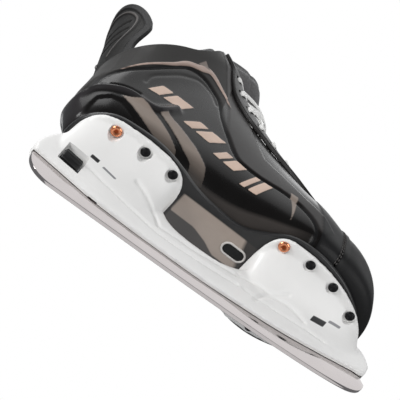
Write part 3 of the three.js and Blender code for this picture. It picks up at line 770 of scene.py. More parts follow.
def baked(obj: bpy.types.Object) -> bpy.types.Object:
    """Turns an object's modifiers into its plain mesh.

    Args:
        obj: the piece.

    Returns:
        The same object.
    """
    bpy.context.view_layer.update()
    graph = bpy.context.evaluated_depsgraph_get()
    mesh = bpy.data.meshes.new_from_object(obj.evaluated_get(graph), preserve_all_data_layers=True, depsgraph=graph)
    obj.modifiers.clear()
    old = obj.data
    obj.data = mesh
    mesh.name = obj.name
    bpy.data.meshes.remove(old)
    return obj


def with_modifier(obj: bpy.types.Object, kind: str, **settings: object) -> bpy.types.Object:
    """Applies one modifier to an object.

    Args:
        obj: the piece.
        kind: the modifier's type.
        settings: its properties.

    Returns:
        The same object.
    """
    modifier = obj.modifiers.new(kind.lower(), kind)
    for name, value in settings.items():
        setattr(modifier, name, value)
    return baked(obj)


def set_field(obj: bpy.types.Object, name: str, values: Points) -> None:
    """Writes a value for each vertex, for a material to read."""
    attribute = obj.data.attributes.get(name) or obj.data.attributes.new(name, "FLOAT", "POINT")
    attribute.data.foreach_set("value", np.asarray(values, np.float32))


def row_points(obj: bpy.types.Object) -> Points:
    """An object's vertices in row-frame millimetres.

    Args:
        obj: the piece.

    Returns:
        The points, one a row.
    """
    spots = np.zeros(len(obj.data.vertices) * 3, np.float32)
    obj.data.vertices.foreach_get("co", spots)
    return spots.reshape(-1, 3).astype(float) / MM


def move_points(obj: bpy.types.Object, points: Points) -> None:
    """Writes an object's vertices back from row-frame millimetres."""
    obj.data.vertices.foreach_set("co", (points * MM).astype(np.float32).ravel())
    obj.data.update()


def vertex_normals(obj: bpy.types.Object) -> Points:
    """An object's vertex normals.

    Args:
        obj: the piece.

    Returns:
        The normals, one a row.
    """
    spots = np.zeros(len(obj.data.vertices) * 3, np.float32)
    obj.data.vertex_normals.foreach_get("vector", spots)
    return spots.reshape(-1, 3).astype(float)


def shell_of(
    name: str, grid: Points, thickness: float, finish: bpy.types.Material, rim: float = 0.8
) -> bpy.types.Object:
    """A wall with rounded rims from a grid on its outer face.

    Args:
        name: the piece's name.
        grid: outer points in the row frame, rows by columns.
        thickness: of the wall, inwards.
        finish: its material.
        rim: the rounding of its edges.

    Returns:
        The new piece.
    """
    obj = make_object(name, grid, grid_faces(*grid.shape[:2]), finish)
    middle = np.mean(grid.reshape(-1, 3), axis=0)
    away = (row_points(obj) - middle) * vertex_normals(obj)
    if away.sum() < 0:
        obj.data.flip_normals()
    wall = {"thickness": thickness * MM, "offset": -1.0, "use_even_offset": False, "use_quality_normals": True}
    with_modifier(obj, "SOLIDIFY", **wall)
    with_modifier(obj, "BEVEL", width=rim * MM, segments=3, limit_method="ANGLE", angle_limit=math.radians(55))
    shade(obj)
    return obj


def remeshed(obj: bpy.types.Object, voxel: float, smooth: int) -> bpy.types.Object:
    """Melts a closed mesh, or several that overlap, into one even skin with rounded edges.

    Args:
        obj: the piece.
        voxel: the grid's spacing in millimetres.
        smooth: rounds of smoothing.

    Returns:
        The same object.
    """
    with_modifier(obj, "REMESH", mode="VOXEL", voxel_size=voxel * MM)
    with_modifier(obj, "SMOOTH", factor=0.5, iterations=smooth)
    shade(obj)
    return obj


def node_copy(name: str, node: str, finish: bpy.types.Material) -> bpy.types.Object:
    """A merged copy of a CAD node's mesh.

    Args:
        name: the copy's name.
        node: the CAD node.
        finish: its material.

    Returns:
        The new piece.
    """
    obj = bpy.data.objects.new(name, frame["nodes"][node].data.copy())
    bpy.context.scene.collection.objects.link(obj)
    mend(obj, merge=1e-6, turn=False)
    obj.data.materials.clear()
    obj.data.materials.append(finish)
    return obj


def lathe(name: str, profile: Points, sides: int) -> bpy.types.Object:
    """A turned piece about +Z from radius and height pairs that start and end on the axis or close up.

    Args:
        name: the piece's name.
        profile: radii and heights in millimetres.
        sides: faces round it.

    Returns:
        The new piece.
    """
    angles = np.linspace(0, 2 * math.pi, sides, endpoint=False)
    profile = np.asarray(profile, float)
    points = [[(r * math.cos(a), r * math.sin(a), z) for a in angles] for r, z in profile]
    obj = make_object(name, np.array(points), grid_faces(len(profile), sides, loop=True))
    mend(obj, merge=1e-7)
    shade(obj, 50)
    return obj


def pin(name: str, radius: float, low: float, high: float, sides: int) -> bpy.types.Object:
    """A straight round pin about +Z."""
    return lathe(name, [(0, low), (radius, low), (radius, high), (0, high)], sides)


class Scatter:
    """A Geometry Nodes tree that sets a copy of a piece on each point.

    Each point carries two directions: 'axis', which the copy's Z follows, and 'run', which its X follows.
    """

    def __init__(self) -> None:
        """Builds the tree."""
        tree = bpy.data.node_groups.new("set_copies", "GeometryNodeTree")
        face = tree.interface
        face.new_socket("Geometry", in_out="INPUT", socket_type="NodeSocketGeometry")
        face.new_socket("Copy", in_out="INPUT", socket_type="NodeSocketObject")
        face.new_socket("Size", in_out="INPUT", socket_type="NodeSocketFloat")
        face.new_socket("Finish", in_out="INPUT", socket_type="NodeSocketMaterial")
        face.new_socket("Geometry", in_out="OUTPUT", socket_type="NodeSocketGeometry")
        given = add(tree, "NodeGroupInput")
        turn = None
        for name, along in (("axis", "Z"), ("run", "X")):
            way = add(tree, "GeometryNodeInputNamedAttribute", {"Name": name}, data_type="FLOAT_VECTOR")
            inputs: dict[str | int, object] = {"Vector": way.outputs["Attribute"]}
            if turn is not None:
                inputs["Rotation"] = turn
            pivot = "AUTO" if turn is None else "Z"
            aim = add(tree, "FunctionNodeAlignRotationToVector", inputs, axis=along, pivot_axis=pivot)
            turn = aim.outputs["Rotation"]
        copy = add(tree, "GeometryNodeObjectInfo", {"Object": given.outputs["Copy"]})
        size = add(tree, "ShaderNodeCombineXYZ", {axis: given.outputs["Size"] for axis in ("X", "Y", "Z")})
        inputs = {
            "Points": given.outputs["Geometry"],
            "Instance": copy.outputs["Geometry"],
            "Rotation": turn,
            "Scale": size.outputs["Vector"],
        }
        placed = add(tree, "GeometryNodeInstanceOnPoints", inputs)
        real = add(tree, "GeometryNodeRealizeInstances", {"Geometry": placed.outputs["Instances"]})
        inputs = {"Geometry": real.outputs["Geometry"], "Material": given.outputs["Finish"]}
        dressed = add(tree, "GeometryNodeSetMaterial", inputs)
        add(tree, "NodeGroupOutput", {"Geometry": dressed.outputs["Geometry"]})
        self.tree = tree
        self.keys = {item.name: item.identifier for item in face.items_tree if item.in_out == "INPUT"}

    def spread(
        self,
        name: str,
        piece: bpy.types.Object,
        points: Points,
        axes: Points,
        finish: bpy.types.Material,
        runs: Points | None = None,
    ) -> bpy.types.Object:
        """Sets copies of a piece on points.

        Args:
            name: the new piece's name.
            piece: what is copied, modelled about the origin; it is deleted afterwards.
            points: row-frame millimetres.
            axes: where each copy's Z points.
            finish: the material.
            runs: where each copy's X points; any way if left out.

        Returns:
            One plain mesh of all the copies.
        """
        axes = np.asarray(axes, float)
        if runs is None:
            runs = np.cross(axes, np.array([0.3, 0.9, 0.1]))
        obj = make_object(name, np.asarray(points, float), [], None)
        for key, ways in (("axis", axes), ("run", np.asarray(runs, float))):
            attribute = obj.data.attributes.new(key, "FLOAT_VECTOR", "POINT")
            attribute.data.foreach_set("vector", ways.astype(np.float32).ravel())
        modifier = obj.modifiers.new("copies", "NODES")
        modifier.node_group = self.tree
        modifier[self.keys["Copy"]] = piece
        modifier[self.keys["Size"]] = 1.0
        modifier[self.keys["Finish"]] = finish
        baked(obj)
        bpy.data.objects.remove(piece)
        return obj


def stitch(length: float, width: float) -> bpy.types.Object:
    """One stitch, a low rounded loop of thread along X.

    Args:
        length: from end to end.
        width: of the thread.

    Returns:
        The new piece.
    """
    rings = []
    for share in np.linspace(-1, 1, 6):
        swell = math.sqrt(max(0.05, 1 - share**2))
        rise = 0.35 * width * (1 - share**2)
        ring = [
            (share * length / 2, swell * width / 2 * math.cos(a), rise + swell * width / 2 * math.sin(a))
            for a in np.linspace(0, 2 * math.pi, 5, endpoint=False)
        ]
        rings.append(ring)
    obj = make_object("stitch_master", np.array(rings), grid_faces(6, 5, loop=True))
    mend(obj, fill=True)
    shade(obj)
    return obj


def stitch_row(
    name: str, scatter: Scatter, line: Points, normals: Points, pitch: float, finish: bpy.types.Material
) -> bpy.types.Object:
    """A row of stitches along a line that lies on a surface with those normals.

    Args:
        name: the row's name.
        scatter: what sets the copies.
        line: row-frame points.
        normals: the surface's directions at those points.
        pitch: from stitch to stitch.
        finish: the thread's material.

    Returns:
        The new piece.
    """
    steps = np.linalg.norm(np.diff(line, axis=0), axis=1)
    along = np.concatenate([[0], np.cumsum(steps)])
    spots = np.arange(pitch, along[-1] - pitch, pitch)
    at = lambda table, where: np.stack([np.interp(where, along, table[:, k]) for k in range(3)], -1)
    points = at(line, spots)
    ahead = at(line, spots + 0.5)
    return scatter.spread(name, stitch(pitch * 0.75, STITCH_WIDTH), points, at(normals, spots), finish, ahead - points)


# ---- Boot ----
class Side(Enum):
    """Which side of the boot a piece is on."""

    OUTER = -1
    INNER = 1


def art(*pairs: float) -> Points:
    """Points of an outline from its u and w values."""
    return np.array(pairs, float).reshape(-1, 2)


def bend(*pairs: float, count: int = 60) -> Points:
    """A smooth line through u and w values."""
    return smooth_through(art(*pairs), count)


def drawn(points: Points | tuple[Points, ...]) -> Points:
    """A dataclass field that starts as these points."""
    return field(default_factory=lambda: points)


@dataclass(frozen=True)
class ShellArt:
    """Lines and patches on the shell's side, drawn in its u and w."""

    piping: Points = drawn(bend(-111, 70, -99, 84, -78, 106, -65, 122, -57, 127, -48, 134, -32, 126, -23, 114))
    triangle: Points = drawn(art(-59, 131, -54, 142, -48, 134))
    groove: Points = drawn(
        bend(
            *(-124, 40, -122, 48, -119, 59, -110, 69, -96, 81, -78, 102, -62, 119, -49, 121, -37, 114),
            *(-27, 86, -20, 71, -6, 49, 11, 44, 27, 42, 43, 34, 59, 15, 62, 4),
        )
    )
    panel: Points = drawn(bend(-92, 66, -90, 74, -79, 89, -64, 106, -51, 114, -41, 111, -35, 101))
    # The heel ridge: raised in relief, with a painted highlight along it.
    ridge: Points = drawn(
        bend(*(-118, 5, -123, 14, -126, 24, -126, 34, -121, 41, -112, 42, -100, 42, -90, 39, -81, 38, -72, 45, -64, 56))
    )
    slot: Points = drawn(bend(-112, 47, -103, 47.5, -93, 46))
    recess: Points = drawn(art(-121, 2, -120, 22, -118, 30, -110, 33, -101, 30, -95, 24, -83, 14, -80, 2))
    stripes: tuple[Points, ...] = drawn(
        (
            art(-104, 35, -91, 38, -79, 33, -65, 24, -54, 15, -48, 4, -66, 4, -71, 13, -81, 17, -90, 23),
            art(-75, 37, -70, 43, -56, 37, -42, 29, -29, 19, -24, 8, -36, 6, -40, 14, -48, 18, -63, 29),
        )
    )
    marks: tuple[Points, ...] = drawn(
        (
            art(-89, 58, -79, 73, -52, 73, -62, 58),
            art(-57, 47, -44, 62, -20, 60, -33, 45),
            art(-28, 36, -18, 49, 1, 45, -9, 33),
            art(-2, 24, 8, 42, 22, 40, 12, 22),
        )
    )
    toe: Points = drawn(art(66, 1, 64, 11, 62, 27, 60, 42, 56, 58, 62, 70, 76, 74, 94, 70, 94, 1))
    spike: Points = drawn(art(35, 45, 41, 43, 40.5, 24, 40, 12, 38, 26))
    band: Points = drawn(
        art(
            *(-22, 78, -8, 51, 11, 46, 27, 44, 44, 36, 60, 16, 66, 12, 72, 24, 64, 33, 49, 46),
            *(28, 67, 12, 76, 2, 100, -8, 130, -22, 168, -40, 205, -52, 205, -34, 160, -24, 110),
        )
    )

    def masks(self, spots: Points) -> dict[str, Points]:
        """Signed distances in millimetres, positive on each patch, for boot-frame points.

        Args:
            spots: the points, one a row.

        Returns:
            The distances, by patch.
        """
        side = spots[:, [0, 2]]
        u, w = side.T
        gap, share = distance_to_line(side, self.piping)
        slits = [np.array([m[0] * 0.6 + m[3] * 0.4, m[1] * 0.6 + m[2] * 0.4]) for m in self.marks]
        slit = np.min([distance_to_line(side, line)[0] for line in slits], axis=0)
        marks = np.max([inside_polygon(side, m) for m in self.marks], axis=0)
        stripes = np.max([inside_polygon(side, s) for s in self.stripes], axis=0)
        upper = above_line(side, self.groove)
        return {
            "piping": np.interp(share, [0, 0.15, 0.45, 0.66, 0.76, 0.9, 1], [0.2, 0.8, 1.4, 3.2, 3.0, 1.7, 0.2]) - gap,
            "triangle": inside_polygon(side, self.triangle),
            "cuff": np.minimum(upper, -30 - u + (w - 100) * 0.12),
            "band": inside_polygon(side, self.band),
            "marks": np.minimum(marks, slit - 1.3),
            "stripes": np.minimum(stripes, (w - 15) * 0.06),
            "spike": inside_polygon(side, self.spike),
            "hem": np.minimum(9 - w, np.minimum(u + 42, 52 - u) * 0.1),
            "line": 1.2 - distance_to_line(side, self.groove)[0],
            "toe": inside_polygon(side, self.toe),
            # Painted highlight: a strip along the heel ridge, where the ridge catches the light.
            "ridge": 3.4 - distance_to_line(side, self.ridge)[0],
        }

    def relief(self, spots: Points) -> Points:
        """How far the surface stands out, in millimetres, for boot-frame points.

        Args:
            spots: the points, one a row.

        Returns:
            The heights.
        """
        side = spots[:, [0, 2]]
        masks = self.masks(spots)
        near = lambda line: distance_to_line(side, line)[0]
        rise = 2.8 * np.exp(-((near(self.ridge) / 3.2) ** 2))
        rise -= 1.0 * smoothstep(2.0, 0.8, near(self.slot))
        rise -= 1.4 * smoothstep(-0.4, 1.6, inside_polygon(side, self.recess))
        rise -= 1.2 * np.exp(-((near(self.groove) / 1.5) ** 2))
        rise += 0.6 * smoothstep(-0.6, 0.6, masks["toe"])
        rise += 0.6 * smoothstep(-0.8, 0.8, masks["cuff"])
        rise += 0.5 * smoothstep(-0.8, 0.8, masks["band"])
        rise -= 0.7 * np.exp(-((near(self.panel) / 1.6) ** 2))
        rise += 0.9 * smoothstep(-0.6, 1.2, masks["piping"])
        rise += 0.35 * smoothstep(-0.2, 0.4, masks["marks"])
        rise += 0.5 * smoothstep(-0.3, 0.6, masks["stripes"] * 6)
        return rise * smoothstep(1.0, 6.0, side[:, 1])


SHELL_FINISH = Finish(
    # Moulded composite, lacquered, with matte and metallic printed panels.
    "shell_composite",
    "0d0b0a",
    0.27,
    specular=0.2,
    coat=0.05,
    grain=0.9,
    bump=0.02,
    layers=(
        Layer("cuff", "15120f", 0.55, edge=0.6),
        Layer("band", "211e1d", 0.38, edge=0.5),
        # Painted highlight: a lighter, glossier strip along the heel ridge, standing in for the light it catches.
        Layer("ridge", "2b292a", 0.26, edge=1.6),
        Layer("hem", "46413e", 0.5, edge=1.0, strength=0.7),
        Layer("stripes", "8d8178", 0.42, edge=0.5),
        Layer("line", "070708", 0.6, edge=0.4),
        Layer("spike", "8d8178", 0.45, edge=0.4),
        Layer("toe", "161617", 0.5, edge=0.4),
        Layer("marks", "d6bcab", 0.38, edge=0.25),
        Layer("piping", "b39d92", 0.34, edge=0.3),
        Layer("triangle", "7c7069", 0.5, edge=0.4),
    ),
)
# Moulded toe cap, fine matte grain.
CAP_FINISH = Finish(
    "toe_cap_plastic", "131314", 0.55, specular=0.25, grain=0.6, bump=0.05, layers=(Layer("rim", "0c0c0d", 0.5),)
)
# Coated synthetic: dark, with a low sheen.
FACING_FINISH = Finish("facing_synthetic", "191716", 0.48, specular=0.3, grain=0.7, bump=0.06)
SOLE_FINISH = CarbonFinish(
    # Composite outsole with a bare carbon window and a black heel.
    "outsole_composite",
    "b0a297",
    0.42,
    coat=0.3,
    grain=2.2,
    weave="afa197",
    layers=(
        Layer("carbon", "45413f", 0.3, edge=0.5),
        Layer("toe", "2f2b29", 0.4, edge=1.5),
        Layer("heel", "161617", 0.42, edge=0.8),
        Layer("edge", "1a1a1b", 0.5, edge=0.6),
    ),
)
# Brushed microfibre: matt grey, lighter where it turns away.
LINER_FINISH = WovenFinish("liner_microfibre", "3d3d40", 0.9, sheen=0.35, grain=1.1, bump=0.12)
# Woven cover on foam: dark and matt.
FOOTBED_FINISH = WovenFinish("footbed_fabric", "1f1f21", 0.92, sheen=0.3, grain=1.0, bump=0.1)
TONGUE_FINISH = WovenFinish(
    # Felt tongue with a bound edge.
    "tongue_felt", "343132", 0.93, sheen=0.45, grain=1.3, bump=0.14, layers=(Layer("binding", "161617", 0.7, edge=0.6),)
)
GUARD_FINISH = Finish(
    # Moulded synthetic with a darker bound edge and a raised bead.
    "guard_synthetic",
    "191817",
    0.6,
    specular=0.22,
    grain=0.8,
    bump=0.07,
    layers=(
        Layer("edging", "070708", 0.5, edge=0.5),
        Layer("slots", "050506", 0.7),
        Layer("bead", "5a5654", 0.4, edge=0.3),
    ),
)
# Painted brass, dark and metallic.
EYELET_FINISH = Finish("eyelet_painted_brass", "3a3a3c", 0.3, metallic=0.8, grain=0.5, bump=0.01)
# Twisted polyester thread: matt, a little lighter than what it joins.
THREAD_FINISH = Finish("sewing_thread", "4b4847", 0.75, grain=0.3, bump=0.04)
# Satin moulded plastic: pale, with soft highlights.
VENT_FINISH = Finish("vent_plastic", "d8d4d0", 0.4, grain=0.6, bump=0.01)
# Fine mesh: black, with no highlight.
GRILLE_FINISH = Finish("vent_mesh_black", "0a0a0b", 0.8, grain=1.0, bump=0.2)
COPPER_FINISH = Finish(
    # Copper rivet, with painted shade darkening its dish.
    "rivet_copper",
    "f2a077",
    0.24,
    metallic=1.0,
    grain=0.5,
    bump=0.008,
    layers=(Layer("dish", "9a4a28", 0.42, edge=0.5),),
)
# Blackened steel: dark, with a thin bright rim.
BLACK_RIVET_FINISH = Finish("rivet_blackened_steel", "1c1c1e", 0.36, metallic=0.7, grain=0.5, bump=0.01)
HOLDER_FINISH = Finish(
    # White nylon with small printed bars.
    "holder_nylon",
    "f4f3f1",
    0.36,
    grain=1.2,
    bump=0.008,
    tint=0.03,
    layers=(Layer("marks", "2a2a2b", 0.45, edge=0.2), Layer("bars", "8f8f92", 0.45, edge=0.2)),
)
# Polished stainless steel: bright, with hairlines along it.
STEEL_FINISH = BrushedFinish("runner_stainless_steel", "c8c2c1", 0.1, metallic=1.0, grain=0.5, bump=0.004, tint=0.05)
# Moulded plastic: black, with satin ribs.
LOCK_FINISH = Finish("lock_plastic", "101011", 0.5, grain=0.5, bump=0.03)
# Machined steel: grey, with lines along it.
JAW_FINISH = BrushedFinish("lock_jaw_steel", "9a9c9f", 0.3, metallic=1.0, grain=0.6, bump=0.006)


@dataclass(frozen=True)
class LaceFinish(Finish):
    """Flat waxed lace; threads cross along attributes measured down and across the lace."""

    def pattern(self, tree: Tree, where: Socket) -> Socket:
        """Braided threads at a slant both ways.

        Args:
            tree: the material's nodes.
            where: object coordinates.

        Returns:
            The height's socket.
        """
        along = add(tree, "ShaderNodeAttribute", attribute_name="along").outputs["Fac"]
        across = add(tree, "ShaderNodeAttribute", attribute_name="across").outputs["Fac"]
        waves = []
        for operation in ("ADD", "SUBTRACT"):
            slant = add(tree, "ShaderNodeMath", {0: along, 1: across}, operation=operation)
            phase = add(tree, "ShaderNodeMath", {0: slant.outputs[0], 1: 6.0}, operation="MULTIPLY")
            waves.append(add(tree, "ShaderNodeMath", {0: phase.outputs[0]}, operation="SINE").outputs[0])
        return add(tree, "ShaderNodeMath", {0: waves[0], 1: waves[1]}, operation="MAXIMUM").outputs[0]


LACE_FINISH = LaceFinish("lace_waxed_polyester", "fbfaf7", 0.6, sheen=0.15, bump=0.06, tint=0.05)


def swollen(grid: Points, rise: Points) -> Points:
    """A grid of points moved out along its normals by a rise for each point.

    Args:
        grid: rows by columns of points.
        rise: rows by columns of heights.

    Returns:
        The moved grid.
    """
    down = np.gradient(grid, axis=0)
    across = np.gradient(grid, axis=1)
    normals = np.cross(down, across)
    normals /= np.maximum(np.linalg.norm(normals, axis=2, keepdims=True), 1e-9)
    middle = grid.reshape(-1, 3).mean(axis=0)
    if ((grid - middle) * normals).sum() < 0:
        normals = -normals
    return grid + normals * rise[..., None]


@dataclass(frozen=True)
class Upper:
    """Shell, toe cap, outsole, facings, liner, footbed, tongue and tendon guard."""

    scatter: Scatter
    shell_wall: float = 3.2
    liner_gap: float = 1.1
    liner_wall: float = 5.5
    outsole: float = 3.0
    facing_wall: float = FACING_WALL
    tongue_thickness: float = 6.0
    tongue_fold: float = 11.6
    tongue_rise: float = 33.0
    guard_height: float = 95.0
    guard_wall: float = 3.6
    guard_wrap: float = math.radians(56)
    punch: float = 3.3
    padding_rim: float = 2.2
    guard_slots: tuple[tuple[float, float], ...] = ((34, 13), (46, 16), (58, 16))
    art: ShellArt = field(default_factory=ShellArt)

    def build(self) -> None:
        """Makes every piece of the boot."""
        self.shell()
        self.toe_cap()
        self.sole()
        for side in Side:
            self.facing(side)
        self.lining()
        self.tongue()
        self.guard()

    def shell(self) -> None:
        """The moulded shell with its printed and stepped panels."""
        grid = refine(BOOT.sheet(70, 260, 0), 210, 300)
        flat = grid.reshape(-1, 3)
        grid = swollen(grid, self.art.relief(flat).reshape(grid.shape[:2]))
        obj = shell_of("shell_body", BOOT.place(grid), self.shell_wall, SHELL_FINISH.build(), rim=0.7)
        for name, values in self.art.masks(BOOT.unplace(row_points(obj))).items():
            set_field(obj, name, values)
        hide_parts("quarter_shell")
        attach(obj, BOOT_BODY)

    def toe_cap(self) -> None:
        """A cup over the toes, with a raised rim at its seam."""
        finish = CAP_FINISH.build()
        angles = np.linspace(0, 2 * math.pi, 361)[:-1]
        shares = np.linspace(0, 1, 72) ** 0.8
        outer = np.stack([smooth_through(BOOT.ring(-0.02 - 0.98 * s, angles), 200, True) for s in shares])
        rise = 0.9 * smoothstep(4.5, 3.0, np.abs(outer[..., 0] - outer[0, :, 0]))
        rise *= smoothstep(1.0, 8.0, outer[..., 2])
        closed = np.concatenate([outer, outer[:, :1]], axis=1)
        grown = swollen(closed, np.concatenate([rise, rise[:, :1]], axis=1))[:, :-1]
        grown[-1] = outer[-1]
        inner = np.stack([smooth_through(BOOT.ring(-0.95 * s, angles, self.shell_wall), 200, True) for s in shares])
        both = np.concatenate([grown[::-1], inner], axis=0)
        obj = make_object("toe_cap_cup", BOOT.place(both), grid_faces(len(both), 200, True), finish)
        mend(obj, merge=5e-5, fill=True)
        shade(obj, 60)
        spots = BOOT.unplace(row_points(obj))
        set_field(obj, "rim", 4.2 - np.abs(spots[:, 0] - BOOT.stations[0][0]))
        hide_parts("toe_cap")
        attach(obj, BOOT_BODY)
        for number, t in enumerate((-0.012, 0.03), 1):
            for side in (Side.INNER, Side.OUTER):
                line = BOOT.ring(t, side.value * np.linspace(0.5, 2.55, 80), -0.5)
                self.sew(f"toe_stitches_{side.name.lower()}_{number}", line)

    def sew(self, name: str, line: Points, pitch: float = 3.0) -> None:
        """A row of stitches on a line of boot-frame points that lies on the boot.

        Args:
            name: the row's name.
            line: the points.
            pitch: from stitch to stitch.
        """
        normals = line - np.array([line[:, 0].mean(), 0, 45.0])
        way = np.gradient(line, axis=0)
        normals -= way * ((normals * way).sum(1) / np.maximum((way * way).sum(1), 1e-9))[:, None]
        obj = stitch_row(name, self.scatter, BOOT.place(line), BOOT.aim(normals), pitch, THREAD_FINISH.build())
        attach(obj, BOOT_BODY)

    def sole(self) -> None:
        """The outsole plate with a rounded edge, coloured in zones."""
        half = art(
            *(-123.5, 0, -119, 19, -105, 31.5, -84, 35.5, -60, 35, -44, 31, -27, 25.5, -6, 22.5, 16, 23),
            *(32, 31, 46, 40, 66, 43, 88, 39.5, 108, 31, 122, 20, 130, 9, 132.5, 0),
        )
        outline = np.vstack([half, half[-2:0:-1] * [1, -1]])
        outline = smooth_through(outline, 220, True)
        middle = np.stack([np.clip(outline[:, 0], -96, 100), np.zeros(len(outline))], -1)
        edge = 1.1
        profile = [(share, 0.0) for share in np.linspace(0, 1, 30)[:-1]]
        profile += [(1 + edge / 30 * (math.sin(a) - 1), edge * (1 - math.cos(a))) for a in np.linspace(0, 1.57, 5)]
        profile += [(1.0, self.outsole)]
        profile += [(share, self.outsole) for share in np.linspace(1, 0, 6)[1:]]
        flat = np.ones(len(outline))
        grid = np.stack([np.column_stack([middle + (outline - middle) * share, flat * w]) for share, w in profile])
        obj = make_object("outsole_plate", BOOT.place(grid), grid_faces(len(grid), 220, True), SOLE_FINISH.build())
        mend(obj, merge=2e-5, thin=1e-6, fill=True)
        shade(obj, 50)
        spots = BOOT.unplace(row_points(obj))
        plan = spots[:, :2]
        line = art(-36, -17, -31, 0, -10, 0, 3, 4, 13, 9, 31, 9)
        beyond = np.minimum(above_line(plan, line), np.minimum(plan[:, 0] + 34, 34 - plan[:, 0]))
        set_field(obj, "carbon", np.minimum(beyond, 21 - np.abs(plan[:, 1] - 4)))
        set_field(obj, "toe", plan[:, 0] - 29 - 0.3 * plan[:, 1])
        set_field(obj, "heel", -31 - plan[:, 0])
        set_field(obj, "edge", -16.5 - plan[:, 1])
        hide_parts("outsole")
        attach(obj, BOOT_BODY)

    def facing(self, side: Side) -> None:
        """A facing along one side of the throat, with its eyelet holes and two rows of stitching.

        Args:
            side: which facing.
        """
        s = side.value
        rows = []
        for t in np.linspace(0.02, BOOT.ear - 0.03, 130):
            low, high = BOOT.free_angle(t, s), BOOT.seam_angle(t, s) - 0.012
            rows.append(BOOT.ring(t, s * np.linspace(low, high, 12)))
        grid = swollen(np.stack(rows), np.zeros((130, 12)))
        finish = FACING_FINISH.build()
        obj = shell_of(f"facing_cover_{side.name.lower()}", BOOT.place(grid), self.facing_wall, finish, rim=0.6)
        holes = [eyelet_spot(row, s) for row in range(EYELET_ROWS)]
        punch = self.scatter.spread(
            "punch",
            pin("punch_pin", self.punch, -7, 7, 20),
            BOOT.place(np.array([h.at for h in holes])),
            BOOT.aim(np.array([h.axis for h in holes])),
            finish,
        )
        with_modifier(obj, "BOOLEAN", object=punch, operation="DIFFERENCE", solver="EXACT")
        bpy.data.objects.remove(punch)
        shade(obj, 50)
        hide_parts(f"facing_{side.name.lower()}")
        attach(obj, BOOT_BODY)
        for number, share in enumerate((0.09, 0.93), 1):
            line = []
            for t in np.linspace(0.2, BOOT.ear - 0.2, 160):
                low, high = BOOT.free_angle(t, s), BOOT.seam_angle(t, s)
                line.append(BOOT.ring(t, np.array([s * (low + (high - low) * share)]), -0.1)[0])
            self.sew(f"facing_stitches_{side.name.lower()}_{number}", np.array(line), 2.8)

    def lining(self) -> None:
        """The padded liner and the footbed."""
        inset = self.shell_wall + self.liner_gap
        grid = refine(BOOT.sheet(40, 160, inset, start=0.08, gap=0.03, above=0.35), 110, 200)
        rows = np.linspace(0, 1, grid.shape[0])[:, None]
        swell = -0.5 * np.exp(-(((rows - 0.9) / 0.012) ** 2)) * np.ones(grid.shape[:2])
        grid = BOOT.place(swollen(grid, swell))
        obj = shell_of("liner_padding", grid, self.liner_wall, LINER_FINISH.build(), rim=self.padding_rim)
        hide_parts("liner")
        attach(obj, BOOT_BODY)
        bed = remeshed(node_copy("footbed_cushion", "footbed", FOOTBED_FINISH.build()), 1.6, 5)
        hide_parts("footbed")
        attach(bed, BOOT_BODY)

    def tongue(self) -> None:
        """The padded tongue, one piece from the toes to its free end."""
        rows = []
        for t in np.linspace(0.1, self.tongue_fold, 80):
            spread = 1.7 - 0.45 * float(smoothstep(9.5, 11.6, t))
            rows.append(BOOT.tongue(t, np.linspace(-spread, spread, 41), 0))
        base = BOOT.tongue(self.tongue_fold + 0.06, np.linspace(-1.25, 1.25, 41), 0)
        off = np.abs(np.linspace(-1, 1, 41))
        for rise in np.linspace(0.06, 1, 16):
            row = base.copy()
            up = self.tongue_rise * rise * (1 - 0.75 * off**3)
            row[:, 0] -= 0.1 * up * rise
            row[:, 1] *= 1 + 0.25 * rise
            row[:, 2] += up
            rows.append(row)
        grid = refine(np.stack(rows), 150, 64)
        shares = np.linspace(-1, 1, 64)[None, :]
        down = np.linspace(0, 1, 150)[:, None]
        channels = np.exp(-(((np.abs(shares) - 0.34) / 0.035) ** 2)) * smoothstep(0.55, 0.6, down)
        hem = smoothstep(0.86, 0.93, np.abs(shares)) + smoothstep(0.965, 0.985, down)
        grid = swollen(grid, -0.9 * channels - 0.8 * np.clip(hem, 0, 1))
        finish = TONGUE_FINISH.build()
        obj = shell_of("tongue_padding", BOOT.place(grid), self.tongue_thickness, finish, rim=self.padding_rim)
        edge, _ = distance_to_line(BOOT.unplace(row_points(obj))[:, 1:], grid[-1][:, 1:])
        set_field(obj, "binding", 4.0 - edge)
        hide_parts("tongue", "tongue_top")
        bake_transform(obj)

    def guard_marks(self, spots: Points, base: float, rim: Points) -> tuple[Points, Points, Points]:
        """Distances from the guard's slots, its raised beads and its rim.

        Args:
            spots: boot-frame points.
            base: the height of the guard's foot.
            rim: the points of its rim.

        Returns:
            The three distances.
        """
        flat = np.column_stack([np.abs(spots[:, 1]), spots[:, 2] - base])
        slots = [distance_to_line(flat, art(0, h - 4, r, h))[0] for h, r in self.guard_slots]
        bead = bend(6, 10, 13, 24, 21, 44, 21, 62, 12, 76, 0, 80, count=40)
        return np.min(slots, axis=0), distance_to_line(flat, bead)[0], distance_to_line(spots, rim)[0]

